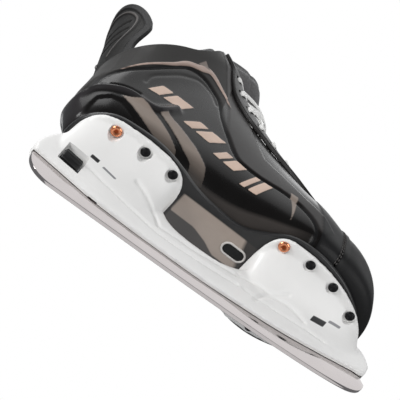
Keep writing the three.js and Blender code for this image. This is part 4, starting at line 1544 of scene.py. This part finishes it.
    def guard(self) -> None:
        """The tendon guard, with pressed slots, a raised bead and a raised edge."""
        rows = []
        tip = BOOT.ring(BOOT.collar, np.array([math.pi]))[0][2] + self.guard_height
        back = BOOT.ring(BOOT.collar + 0.03, np.array([math.pi]))[0]
        for rise in np.linspace(0, 1, 40):
            wrap = self.guard_wrap * (0.64 + 0.36 * float(smoothstep(0, 0.45, rise)))
            wrap *= math.sqrt(max(0.0, 1 - min(rise, 0.995) ** 3))
            shares = np.linspace(-1, 1, 33)
            base = BOOT.ring(BOOT.collar + 0.03, math.pi + shares * wrap, -0.6)
            round_ = 1 - 0.2 * rise
            line = np.stack(
                [back[0] + (base[:, 0] - back[0]) * round_, base[:, 1] * round_, base[:, 2] * (1 - rise) + tip * rise],
                -1,
            )
            rows.append(line)
        grid = refine(np.stack(rows), 110, 80)
        spots = grid.reshape(-1, 3)
        rim = np.concatenate([grid[:, 0], grid[-1], grid[::-1, -1]])
        slots, beads, edge = self.guard_marks(spots, back[2], rim)
        rise = 0.9 * smoothstep(6.5, 5.0, edge) - 1.2 * smoothstep(2.0, 0.8, slots) + 1.0 * smoothstep(1.8, 0.6, beads)
        fade = smoothstep(0.03, 0.2, np.linspace(0, 1, grid.shape[0]))[:, None]
        grid = swollen(grid, rise.reshape(grid.shape[:2]) * fade)
        obj = shell_of("guard_flap", BOOT.place(grid), self.guard_wall, GUARD_FINISH.build(), rim=0.9)
        slots, beads, edge = self.guard_marks(BOOT.unplace(row_points(obj)), back[2], rim)
        set_field(obj, "slots", 1.1 - slots)
        set_field(obj, "bead", 0.7 - beads)
        set_field(obj, "edging", 5.6 - edge)
        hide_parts("tendon_guard")
        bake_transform(obj)


@dataclass(frozen=True)
class Lacing:
    """Eyelets and the flat lace."""

    scatter: Scatter
    bore: float = 2.5
    rim: float = 4.4
    lip: float = 0.8
    seat: float = 0.6
    width: float = 6.0
    pinch: float = 3.7
    thickness: float = 1.3
    shares: tuple[float, ...] = (1, 0.8, 0.5, 0.22, 0, -0.22, -0.5, -0.8, -1)

    def build(self) -> None:
        """Makes the eyelets and the lace."""
        for side in Side:
            self.eyelets(side)
        self.lace()

    def eyelets(self, side: Side) -> None:
        """The eyelets of one facing.

        Args:
            side: which facing.
        """
        half = FACING_WALL / 2 + self.seat
        tube = self.bore + 0.6
        curve = [(self.bore, half), (self.bore + 0.35, half + self.lip), (self.bore + 1.1, half + self.lip)]
        curve += [(self.rim - 0.3, half + 0.45), (self.rim, half + 0.05), (tube, half)]
        profile = curve + [(r, -w) for r, w in reversed(curve)] + [curve[0]]
        spots = [eyelet_spot(row, side.value) for row in range(EYELET_ROWS)]
        turned = BOOT.aim(np.array([s.axis for s in spots]))
        points = BOOT.place(np.array([s.at for s in spots]))
        name = f"eyelets_{side.name.lower()}"
        piece = lathe("eyelet_master", profile, 24)
        obj = self.scatter.spread(name, piece, points, turned, EYELET_FINISH.build())
        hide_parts(*(f"eyelet_{side.name.lower()}_{row + 1}" for row in range(EYELET_ROWS)))
        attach(obj, BOOT_BODY)

    def climb(self, start: int, high: bool) -> list[tuple[Points, float]]:
        """Half the lace from the bottom row up, as points and widths.

        Args:
            start: the side of its first eyelet.
            high: whether it lies on top at the first crossing.

        Returns:
            Each point with the lace's width there.
        """
        points = []
        gap = FACING_WALL / 2 + self.seat + self.lip + 1.6
        side = start
        for row in range(LACED_ROWS):
            spot = eyelet_spot(row, side)
            points += [(spot.at - spot.axis * gap, 4.6), (spot.at, self.pinch), (spot.at + spot.axis * gap, 4.6)]
            above = ROWS[row + 1]
            over = row % 2 == (0 if high else 1)
            for share in self.shares:
                way = spot.t + (above - spot.t) * (1 - share) / 2
                raise_ = 3.3 if share == 0 and over else 0.0
                hump = 5.6 * (1 - float(smoothstep(4.5, 9, way))) if share == 0.8 else 0.0
                if share == 1:
                    at = BOOT.gap(way, side, 1, -3.4)
                elif share == -1:
                    at = BOOT.gap(way, -side, 1, 6.6)
                else:
                    at = BOOT.tongue(way, np.array([side * share]), -3.2 - raise_ - hump)[0]
                points.append((at, self.width))
            side = -side
        return points

    def route(self) -> tuple[Points, Points]:
        """The lace's middle line in the boot frame, and its width along it.

        Returns:
            The points and the widths.
        """
        bar = []
        for share in (1, 0.5, 0, -0.5, -1):
            t = ROWS[0] - 0.15
            at = BOOT.gap(t, share, 1, 6.6) if abs(share) == 1 else BOOT.tongue(t, np.array([share]), -3.2)[0]
            bar.append((at, self.width))
        whole = self.climb(1, True)[::-1] + bar + self.climb(-1, False)
        table = np.array([[*at, width] for at, width in whole])
        fine = smooth_through(table[:, :3], 1900)
        along = np.concatenate([[0], np.cumsum(np.linalg.norm(np.diff(table[:, :3], axis=0), axis=1))])
        widths = np.interp(np.linspace(0, along[-1], len(fine)), along, table[:, 3])
        kernel = np.ones(9) / 9
        for k in range(3):
            fine[4:-4, k] = np.convolve(fine[:, k], kernel, "valid")
        return fine, widths

    def lace(self) -> None:
        """One flat lace swept along its route."""
        line, widths = self.route()
        ways = np.gradient(line, axis=0)
        ways /= np.linalg.norm(ways, axis=1, keepdims=True)
        climb = np.clip((line[:, 2:] - 60) / 70, 0, 1)
        flats = (1 - climb) * np.array([-0.75, 0, 0.66]) + climb * np.array([-0.3, 0, 0.95])
        flats -= ways * (flats * ways).sum(1, keepdims=True)
        flats /= np.linalg.norm(flats, axis=1, keepdims=True)
        faces = np.cross(ways, flats)
        angles = np.linspace(0, 2 * math.pi, 12, endpoint=False)
        c, s = np.cos(angles), np.sin(angles)
        wide = np.sign(c) * np.abs(c) ** 0.6
        deep = np.sign(s) * np.abs(s) ** 0.8
        thick = self.thickness * (1 + 0.5 * (1 - widths / self.width))
        points = (
            line[:, None]
            + flats[:, None] * (widths[:, None] / 2 * wide)[..., None]
            + faces[:, None] * (thick[:, None] / 2 * deep)[..., None]
        )
        obj = make_object("lace_flat", BOOT.place(points), grid_faces(len(line), 12, True), LACE_FINISH.build())
        lengths = np.concatenate([[0], np.cumsum(np.linalg.norm(np.diff(line, axis=0), axis=1))])
        set_field(obj, "along", np.repeat(lengths, 12))
        set_field(obj, "across", (widths[:, None] / 2 * wide).ravel())
        mend(obj, fill=True)
        shade(obj, 60)
        log.info("lace length along its route: %.0f mm", lengths[-1])
        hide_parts("lace")
        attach(obj, BOOT_BODY)


# ---- Underside ----
@dataclass(frozen=True)
class Fastenings:
    """Rivets under the boot and the vent in the outsole."""

    scatter: Scatter
    head: float = 4.3
    black_head: float = 3.7
    shank: float = 2.2
    flange: float = 3.5
    clearance: float = 0.3
    vent: tuple[float, float] = (23.0, -3.0)
    vent_size: tuple[float, float] = (17.0, 8.0)
    vent_rim: float = 1.6
    heel: tuple[tuple[float, float], ...] = ((-97.5, 25.4), (-72.5, 26.2), (-47.5, 25))
    front: tuple[tuple[float, float], ...] = ((45.5, 33), (68.5, 34.2), (91.5, 31), (115, 21))

    def build(self) -> None:
        """Makes the rivets and the vent."""
        places: dict[bool, list[tuple[str, float, float]]] = {True: [], False: []}
        for zone, spots in (("rear", self.heel), ("front", self.front)):
            for index, (u, v) in enumerate(spots):
                for side in Side:
                    name = f"rivet_{zone}_{side.name.lower()}_{index + 1}"
                    places[index == 0].append((name, u, side.value * v))
        for bright, spots in places.items():
            self.rivets(bright, spots)
        self.vent_ring()

    def rivets(self, bright: bool, spots: list[tuple[str, float, float]]) -> None:
        """All rivets of one metal.

        Args:
            bright: whether they are copper.
            spots: each rivet's CAD node, u and v.
        """
        under = -self.flange - 2 * self.clearance
        head = self.head if bright else self.black_head
        curve = [(0, 0.7), (head * 0.32, 0.78), (head * 0.5, 1.25), (head * 0.68, 1.6)]
        curve += [(head * 0.86, 1.35), (head * 0.97, 0.8), (head, 0.25), (head * 0.97, 0)]
        profile = [(r, -under + h) for r, h in curve] + [(self.shank, -under), (self.shank, -5.5), (0, -5.5)]
        piece = lathe("rivet_master", profile, 32)
        points = BOOT.place(np.array([[u, v, 0] for _, u, v in spots]))
        down = BOOT.aim(np.array([0, 0, -1.0]))
        finish = COPPER_FINISH if bright else BLACK_RIVET_FINISH
        name = "rivets_copper" if bright else "rivets_black"
        obj = self.scatter.spread(name, piece, points, np.tile(down, (len(points), 1)), finish.build())
        spots_now = BOOT.unplace(row_points(obj))
        near = np.min([np.hypot(spots_now[:, 0] - u, spots_now[:, 1] - v) for _, u, v in spots], axis=0)
        # Painted shade: the middle of each copper head is darkened where its hollow would lie in shade.
        set_field(obj, "dish", head * 0.42 - near)
        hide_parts(*(n for n, _, _ in spots))
        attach(obj, BOOT_BODY)

    def vent_ring(self) -> None:
        """A pale rounded ring round the vent, and the black mesh behind it."""
        reach = (self.vent_size[0] - self.vent_size[1]) / 2
        turn = np.linspace(-math.pi / 2, math.pi / 2, 17)
        right = np.stack([np.cos(turn), np.sin(turn)], -1)
        ways = np.vstack([right, -right])
        ends = np.vstack([np.tile([reach, 0], (17, 1)), np.tile([-reach, 0], (17, 1))])
        inner = self.vent_size[1] / 2
        turns = np.linspace(0, 2 * math.pi, 12, endpoint=False)
        rings = []
        for a in turns:
            out = inner + self.vent_rim / 2 * (1 + math.cos(a))
            low = -0.1 + 0.95 * math.sin(a)
            plan = ends + ways * out
            rings.append(np.column_stack([plan[:, 0] + self.vent[0], plan[:, 1] + self.vent[1], np.full(34, low)]))
        grid = np.stack([*rings, rings[0]])
        obj = make_object("vent_ring_rounded", BOOT.place(grid), grid_faces(13, 34, True), VENT_FINISH.build())
        mend(obj, merge=1e-7)
        shade(obj)
        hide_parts("vent_ring")
        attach(obj, BOOT_BODY)
        plan = ends + ways * (inner + 0.3)
        low = np.column_stack([plan[:, 0] + self.vent[0], plan[:, 1] + self.vent[1], np.full(34, -0.35)])
        high = low + [0, 0, 0.3]
        faces = [tuple(range(34)), tuple(range(67, 33, -1))] + grid_faces(2, 34, True)
        mesh = make_object("vent_mesh", BOOT.place(np.stack([low, high])), faces, GRILLE_FINISH.build())
        mend(mesh)
        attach(mesh, BOOT_BODY)


# ---- Holder and steel ----
@dataclass(frozen=True)
class Oval:
    """A rounded oval, its ends of unlike reach and roundness."""

    x: float
    back: float
    front: float
    half: float
    back_power: float
    front_power: float

    def points(self, count: int) -> Points:
        """The oval's outline.

        Args:
            count: how many points.

        Returns:
            The points, x and y.
        """
        angles = np.linspace(0, 2 * math.pi, count, endpoint=False)
        c, s = np.cos(angles), np.sin(angles)
        power = np.where(c < 0, self.back_power, self.front_power)
        reach = np.where(c < 0, self.back, self.front)
        x = self.x + np.sign(c) * np.abs(c) ** (2 / power) * reach
        y = np.sign(s) * np.abs(s) ** (2 / power) * self.half
        return np.stack([x, y], -1)


def prism(name: str, outline: Points, half: float, finish: bpy.types.Material | None = None) -> bpy.types.Object:
    """A straight solid across the row, from an outline.

    Args:
        name: the piece's name.
        outline: x and z in the row frame.
        half: how far it reaches each way along y.
        finish: its material.

    Returns:
        The closed piece.
    """
    count = len(outline)
    ends = [np.stack([outline[:, 0], np.full(count, y), outline[:, 1]], -1) for y in (-half, half)]
    faces = [tuple(range(count)), tuple(range(2 * count - 1, count - 1, -1))] + grid_faces(2, count, True)
    obj = make_object(name, np.stack(ends), faces, finish)
    mend(obj)
    return obj


def arc(start: Points, bend: Points, end: Points, count: int = 12) -> Points:
    """A quadratic curve, without its first point.

    Args:
        start: where it begins.
        bend: what it bends towards.
        end: where it ends.
        count: how many points.

    Returns:
        The points.
    """
    s = np.linspace(0, 1, count + 1)[1:, None]
    start, bend, end = np.array(start, float), np.array(bend, float), np.array(end, float)
    return (1 - s) ** 2 * start + 2 * s * (1 - s) * bend + s**2 * end


def path(first: tuple[float, float], *parts: tuple[float, ...]) -> Points:
    """An outline from corners (x, z) and bends (bend x, bend z, x, z).

    Args:
        first: the first corner.
        parts: the rest.

    Returns:
        The points.
    """
    points = [np.array([first], float)]
    for part in parts:
        last = points[-1][-1]
        points.append(np.array([part], float) if len(part) == 2 else arc(last, part[:2], part[2:]))
    return np.vstack(points)


def join(name: str, pieces: list[bpy.types.Object]) -> bpy.types.Object:
    """Several meshes as one object.

    Args:
        name: the new name.
        pieces: the meshes, which are removed.

    Returns:
        The new piece.
    """
    work = bmesh.new()
    for piece in pieces:
        work.from_mesh(piece.data)
    mesh = bpy.data.meshes.new(name)
    work.to_mesh(mesh)
    work.free()
    for piece in pieces:
        bpy.data.objects.remove(piece)
    obj = bpy.data.objects.new(name, mesh)
    bpy.context.scene.collection.objects.link(obj)
    return obj


@dataclass(frozen=True)
class Undercarriage:
    """The holder, the steel runner and the lock that clamps it."""

    runner_length: float = 290.0
    thickness: float = 3.0
    seat: float = 7.0
    rail_width: float = 10.0
    flange: float = 3.5
    clearance: float = 0.3
    lock_at: tuple[float, float, float] = (-115.6, 0.0, 40.6)
    lock_tilt: float = math.radians(13.7)
    window: tuple[float, float] = (18.0, 21.5)
    dial_radius: float = 8.2
    dial_width: float = 15.0
    dial_ribs: int = 14
    dial_bore: float = 2.0
    screw_room: float = 2.8
    recess: float = 5.4
    folds: tuple[tuple[float, ...], ...] = (
        (-104, -34, -78, -39, -59, -42, -40, -46, -21, -45, 3, -42, 31, -37),
        (-66, -20, -54, -23, -44, -28, -38, -38),
        (-38, -38, -22, -36, -8, -35, 10, -31, 30, -27),
        (30, -25, 43, -22, 56, -23, 69, -17),
        (47, -40, 55, -26, 67, -23, 80, -23, 88, -25),
        (37, -36, 66, -33, 87, -30, 108, -28),
    )
    fold_depths: tuple[float, ...] = (0.8, 0.8, 0.6, 0.7, 0.8, 0.8)
    rear_flange: Oval = Oval(-77, 43.5, 43.5, 34.2, 3.2, 3.2)
    front_flange: Oval = Oval(60, 26, 74, 40.2, 3.5, 1.9)
    rear_foot: Oval = Oval(-96, 44, 46, 5.4, 2.6, 2.2)
    front_foot: Oval = Oval(90, 52, 52, 5.4, 2.2, 2.6)

    def sole_at(self, x: float) -> float:
        """The height of the outsole's underside over a point."""
        return BOOT.sole_height - math.tan(BOOT.pitch) * x

    def rail_line(self, count: int = 90) -> Points:
        """The holder's lower edge.

        Args:
            count: how many points.

        Returns:
            The points, x and z.
        """
        shares = art(
            *(-0.99, 26.6, -0.83, 21.6, -0.65, 16, -0.45, 13.4, -0.2, 12.2, 0, 12, 0.24, 14.2, 0.48, 17.4),
            *(0.72, 24, 0.99, 33.2),
        )
        return smooth_through(shares * [self.runner_length / 2, 1], count)

    def build(self) -> None:
        """Makes the holder, the steel and the lock."""
        self.holder()
        self.runner()
        self.dial()
        for slot in frame["nodes"]["lock_jaw"].material_slots:
            slot.material = JAW_FINISH.build()

    def tower(self, foot: Oval, foot_z: float, top: Oval) -> bpy.types.Object:
        """A tower that flares from a narrow foot to its flange.

        Args:
            foot: its lower outline.
            foot_z: the foot's height.
            top: its upper outline.

        Returns:
            The tower.
        """
        low, high = foot.points(120), top.points(120)
        rings = []
        for share in np.linspace(0, 1, 44):
            x = low[:, 0] + (high[:, 0] - low[:, 0]) * share**0.9
            y = low[:, 1] + (high[:, 1] - low[:, 1]) * share**2.6
            top_z = np.array([self.sole_at(value) for value in x]) - self.clearance
            rings.append(np.stack([x, y, foot_z + (top_z - foot_z) * share], -1))
        faces = grid_faces(44, 120, True) + [tuple(range(120)), tuple(range(44 * 120 - 1, 43 * 120 - 1, -1))]
        obj = make_object("tower", np.stack(rings), faces)
        mend(obj)
        return obj

    def rim(self, oval: Oval) -> bpy.types.Object:
        """A flange under the boot, as a flat plate of the oval's outline.

        Args:
            oval: its outline.

        Returns:
            The flange.
        """
        plan = oval.points(140)
        rings = [np.column_stack([plan, np.full(140, w)]) for w in (-self.flange - self.clearance, -self.clearance)]
        faces = grid_faces(2, 140, True) + [tuple(range(140)), tuple(range(279, 139, -1))]
        obj = make_object("flange", BOOT.place(np.stack(rings)), faces)
        mend(obj)
        return obj

    def rail(self) -> bpy.types.Object:
        """The upright web between the towers and the steel.

        Returns:
            The web.
        """
        half = self.runner_length / 2
        at = self.sole_at
        upper = path(
            (half + 1, 43),
            (half - 3, 60, 133, at(133) - 4),
            (40, at(40) - 4),
            (32, 50, 12, 43.5),
            (-8, 40.5, -26, 44.5),
            (-40, 49, -42, at(-42) - 4),
            (-118, at(-118) - 4),
            (-half + 8, 56, -half + 1, 33),
        )
        outline = np.vstack([self.rail_line(), upper])
        return prism("rail", outline, self.rail_width / 2)

    def lock_frame(self, obj: bpy.types.Object) -> bpy.types.Object:
        """Puts a piece made about the lock's screw, which runs along X, in its place.

        Args:
            obj: the piece.

        Returns:
            The same object.
        """
        spots = row_points(obj)
        c, s = math.cos(self.lock_tilt), math.sin(self.lock_tilt)
        x, z = spots[:, 0].copy(), spots[:, 2].copy()
        spots[:, 0], spots[:, 2] = x * c + z * s, z * c - x * s
        move_points(obj, spots + np.array(self.lock_at))
        return obj

    def box(self, x0: float, x1: float, width: float, z0: float, z1: float) -> bpy.types.Object:
        """A block in the lock's frame."""
        outline = art(x0, z0, x1, z0, x1, z1, x0, z1)
        return self.lock_frame(prism("block", outline, width / 2))

    def screw_bore(self) -> bpy.types.Object:
        """Room for the lock's screw, which slides back through the window's rear wall.

        Returns:
            The tool that cuts it.
        """
        bore = pin("bore", self.screw_room, -12, 9, 20)
        move_points(bore, row_points(bore)[:, [2, 1, 0]])
        mend(bore)
        return self.lock_frame(bore)

    def holder(self) -> None:
        """The moulded holder with its slot, lock window, rivet recesses and sunk lines."""
        blank = join(
            "holder_moulding",
            [
                self.rail(),
                self.tower(self.rear_foot, 26, self.rear_flange),
                self.tower(self.front_foot, 31, self.front_flange),
                self.rim(self.rear_flange),
                self.rim(self.front_flange),
            ],
        )
        remeshed(blank, 1.1, 6)
        spots = row_points(blank)
        normals = vertex_normals(blank)
        side = BOOT.unplace(spots)[:, [0, 2]]
        rise = np.zeros(len(spots))
        for fold, depth in zip(self.folds, self.fold_depths):
            gap, _ = distance_to_line(side, bend(*fold, count=30))
            rise -= 1.6 * depth * np.exp(-((gap / 1.4) ** 2))
        rise *= smoothstep(0.35, 0.7, np.abs(normals[:, 1]))
        move_points(blank, spots + normals * rise[:, None])
        self.cut(blank)
        blank.data.materials.clear()
        blank.data.materials.append(HOLDER_FINISH.build())
        shade(blank, 42)
        self.print_marks(blank)
        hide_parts("holder")
        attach(blank, BOOT_BODY)

    def cut(self, blank: bpy.types.Object) -> None:
        """Cuts the steel's slot, the lock's window and pocket, and the rivets' recesses.

        Args:
            blank: the moulding.
        """
        line = self.rail_line()
        band = np.vstack([line - [0, 8], (line + [0, self.seat + 2 * self.clearance])[::-1]])
        room = self.thickness + 2 * self.clearance
        cutters = [
            prism("slot", band, room / 2),
            self.box(-self.window[0] / 2, self.window[0] / 2, 80, -self.window[1] / 2, self.window[1] / 2),
            self.box(8.2, 32, 5, -19, 5.4),
            self.screw_bore(),
        ]
        for u, v in (*Fastenings.heel, *Fastenings.front):
            for side in Side:
                sink = pin("recess", self.recess, -self.flange - 16, -3.8, 24)
                move_points(sink, BOOT.place(row_points(sink) + [u, side.value * v, 0]))
                cutters.append(sink)
        tool = join("cutters", cutters)
        with_modifier(blank, "BOOLEAN", object=tool, operation="DIFFERENCE", solver="EXACT", use_self=True)
        bpy.data.objects.remove(tool)

    def print_marks(self, obj: bpy.types.Object) -> None:
        """Small generic bars printed on the holder's sides.

        Args:
            obj: the moulding.
        """
        spots = BOOT.unplace(row_points(obj))
        side = spots[:, [0, 2]]
        dark = art(-103, -24, -96, -24.6, -96.6, -27.4, -103.6, -26.8), art(92, -17, 103, -15, 102, -19, 91, -21)
        pale = (
            art(-92, -26.5, -80, -28, -80.4, -29.6, -92.4, -28.1),
            art(104, -13, 114, -11, 113.6, -12.6, 103.6, -14.6),
        )
        for name, bars in (("marks", dark), ("bars", pale)):
            set_field(obj, name, np.max([inside_polygon(side, bar) for bar in bars], axis=0))

    def runner(self) -> None:
        """The steel, with its edges just broken, and the lug that the lock draws on."""
        half = self.runner_length / 2
        line = self.rail_line(70)
        top = (line + [0, self.seat])[::-1]
        top = top[np.abs(top[:, 0]) < half - 6]
        lower = path(
            (-60, 0.6),
            (-36, 0, -12, 0),
            (12, 0),
            (36, 0, 60, 0.6),
            (112, 2.6, 131, 8),
            (half - 1, 12.5, half, 24),
        )
        heel = path((-half + 1, 24), (-half - 1, 4.5, -127, 1.9), (-95, 1.2, -60, 0.6))
        outline = np.vstack([lower, top, heel[:-1]])
        half_width = self.thickness / 2
        steel = STEEL_FINISH.build()
        obj = prism("runner_steel", outline, half_width, steel)
        with_modifier(obj, "BEVEL", width=0.35 * MM, segments=2, limit_method="ANGLE", angle_limit=math.radians(50))
        slope = 0.5
        hook = art(19.6, 4.5, 19.6 + slope * 9.6, -5.1, 19.6 + slope * 9.6, -15, 29, -15, 29, 4.5)
        lug = self.lock_frame(prism("lug", hook, half_width, steel))
        with_modifier(obj, "BOOLEAN", object=lug, operation="UNION", solver="EXACT")
        bpy.data.objects.remove(lug)
        shade(obj, 30)
        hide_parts("runner")
        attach(obj, "steel")

    def dial(self) -> None:
        """The lock's ribbed dial on its screw."""
        angles = np.linspace(0, 2 * math.pi, self.dial_ribs * 8, endpoint=False)
        ribs = smoothstep(-0.5, 0.5, np.cos(angles * self.dial_ribs))
        half = self.dial_width / 2
        rings = []
        rear = [(-half, 2.6), (-half, 1.2), (-half + 0.7, 0.2), (-half + 1.1, 0)]
        for x, inset in (*rear, *((-x, inset) for x, inset in reversed(rear))):
            radius = self.dial_radius - inset - (1 - ribs) * (0.95 if inset < 1 else 0.3)
            rings.append(np.stack([np.full(len(angles), x), radius * np.cos(angles), radius * np.sin(angles)], -1))
        count = len(angles)
        bore = [
            np.stack([np.full(count, x), self.dial_bore * np.cos(angles), self.dial_bore * np.sin(angles)], -1)
            for x in (half, -half)
        ]
        grid = np.stack([*rings, *bore, rings[0]])
        obj = make_object("lock_dial_ribbed", grid, grid_faces(len(grid), count, True), LOCK_FINISH.build())
        mend(obj, merge=1e-7)
        self.lock_frame(obj)
        shade(obj, 40)
        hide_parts("lock_dial")
        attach(obj, "dial")


# ---- Studio ----
@dataclass(frozen=True)
class Studio:
    """Camera, lights and a floor that only shows from above."""

    centre: tuple[float, float, float] = (-600.379, -1020.994, -1794.285)
    right: tuple[float, float, float] = (0.78447, -0.61423, 0.08554)
    up: tuple[float, float, float] = (-0.56103, -0.64412, 0.51996)
    lens: float = 284.85
    floor_reach: float = 4000.0
    floor_height: float = -0.3

    def build(self) -> None:
        """Sets everything up round the object."""
        self.camera()
        self.world()
        self.floor()
        a, b = Vector(self.right), Vector(self.up)
        towards = a.cross(b)
        aim = Vector((0, 0, 0.13))
        for name, way, size, power in (
            ("key", towards * 0.75 - a * 0.75 + b * 0.75, 0.6, 15),
            ("fill", towards * 0.8 + a * 1.0 - b * 0.3, 0.9, 9),
            ("rim", -towards * 0.5 + b * 1.1 - a * 0.2, 0.7, 4),
            ("panel", Vector((0.264, -0.456, 0.85)) * 1.2, 1.7, 8),
            ("low", Vector((0.264, 0.456, -0.85)) * 1.2, 1.2, 3),
            ("top", Vector((0.2, 0.5, 1.3)), 1.2, 4),
        ):
            light = bpy.data.lights.new(name, "AREA")
            light.size = size
            light.energy = power
            lamp = bpy.data.objects.new(name, light)
            lamp.location = aim + way * 1.1
            lamp.rotation_euler = (aim - lamp.location).to_track_quat("-Z", "Y").to_euler()
            bpy.context.scene.collection.objects.link(lamp)
        bpy.context.scene.view_settings.view_transform = "Standard"

    def camera(self) -> None:
        """The camera low on the outer side, looking up at the sole."""
        a, b = Vector(self.right).normalized(), Vector(self.up).normalized()
        back = a.cross(b).normalized()
        made = bpy.data.cameras.new("camera")
        made.lens = self.lens
        made.sensor_width = 36
        made.clip_end = 20
        eye = bpy.data.objects.new("camera", made)
        turn = Matrix((a, b, back)).transposed().to_4x4()
        eye.matrix_world = Matrix.Translation(Vector(self.centre) * MM) @ turn
        bpy.context.scene.collection.objects.link(eye)
        bpy.context.scene.camera = eye

    def world(self) -> None:
        """White behind the object and softer light on it."""
        world = bpy.data.worlds.new("studio")
        world.use_nodes = True
        tree = world.node_tree
        tree.nodes.clear()
        ray = add(tree, "ShaderNodeLightPath").outputs["Is Camera Ray"]
        soft = add(tree, "ShaderNodeBackground", {"Color": srgb("e8ebef"), "Strength": 0.26})
        white = add(tree, "ShaderNodeBackground", {"Color": (1, 1, 1, 1), "Strength": 1.0})
        both = add(tree, "ShaderNodeMixShader", {0: ray, 1: soft.outputs[0], 2: white.outputs[0]})
        add(tree, "ShaderNodeOutputWorld", {"Surface": both.outputs[0]})
        bpy.context.scene.world = world

    def floor(self) -> None:
        """A pale floor, clear from below and to every ray but those from the camera."""
        material = bpy.data.materials.new("floor_pale")
        material.use_nodes = True
        tree = material.node_tree
        tree.nodes.clear()
        ray = add(tree, "ShaderNodeLightPath").outputs["Is Camera Ray"]
        back = add(tree, "ShaderNodeNewGeometry").outputs["Backfacing"]
        front = add(tree, "ShaderNodeMath", {0: 1.0, 1: back}, operation="SUBTRACT")
        seen = add(tree, "ShaderNodeMath", {0: ray, 1: front.outputs[0]}, operation="MULTIPLY")
        clear = add(tree, "ShaderNodeBsdfTransparent")
        pale = add(tree, "ShaderNodeBsdfDiffuse", {"Color": srgb("e9e9e8")})
        both = add(tree, "ShaderNodeMixShader", {0: seen.outputs[0], 1: clear.outputs[0], 2: pale.outputs[0]})
        add(tree, "ShaderNodeOutputMaterial", {"Surface": both.outputs[0]})
        corners = art(-1, -1, 1, -1, 1, 1, -1, 1) * self.floor_reach
        obj = make_object("floor", np.column_stack([corners, np.full(4, self.floor_height)]), [(0, 1, 2, 3)], material)


def main() -> None:
    """Builds the skate and its studio."""
    logging.basicConfig(level=logging.INFO, format="%(message)s")
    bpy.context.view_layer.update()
    scatter = Scatter()
    for part in (Undercarriage(), Upper(scatter), Lacing(scatter), Fastenings(scatter), Studio()):
        known = set(bpy.data.objects.keys())
        part.build()
        for made in bpy.data.objects:
            if made.type == "MESH" and made.name not in known:
                log.info("%s: %s, %d faces", type(part).__name__, made.name, len(made.data.polygons))


if __name__ == "__main__":
    main()
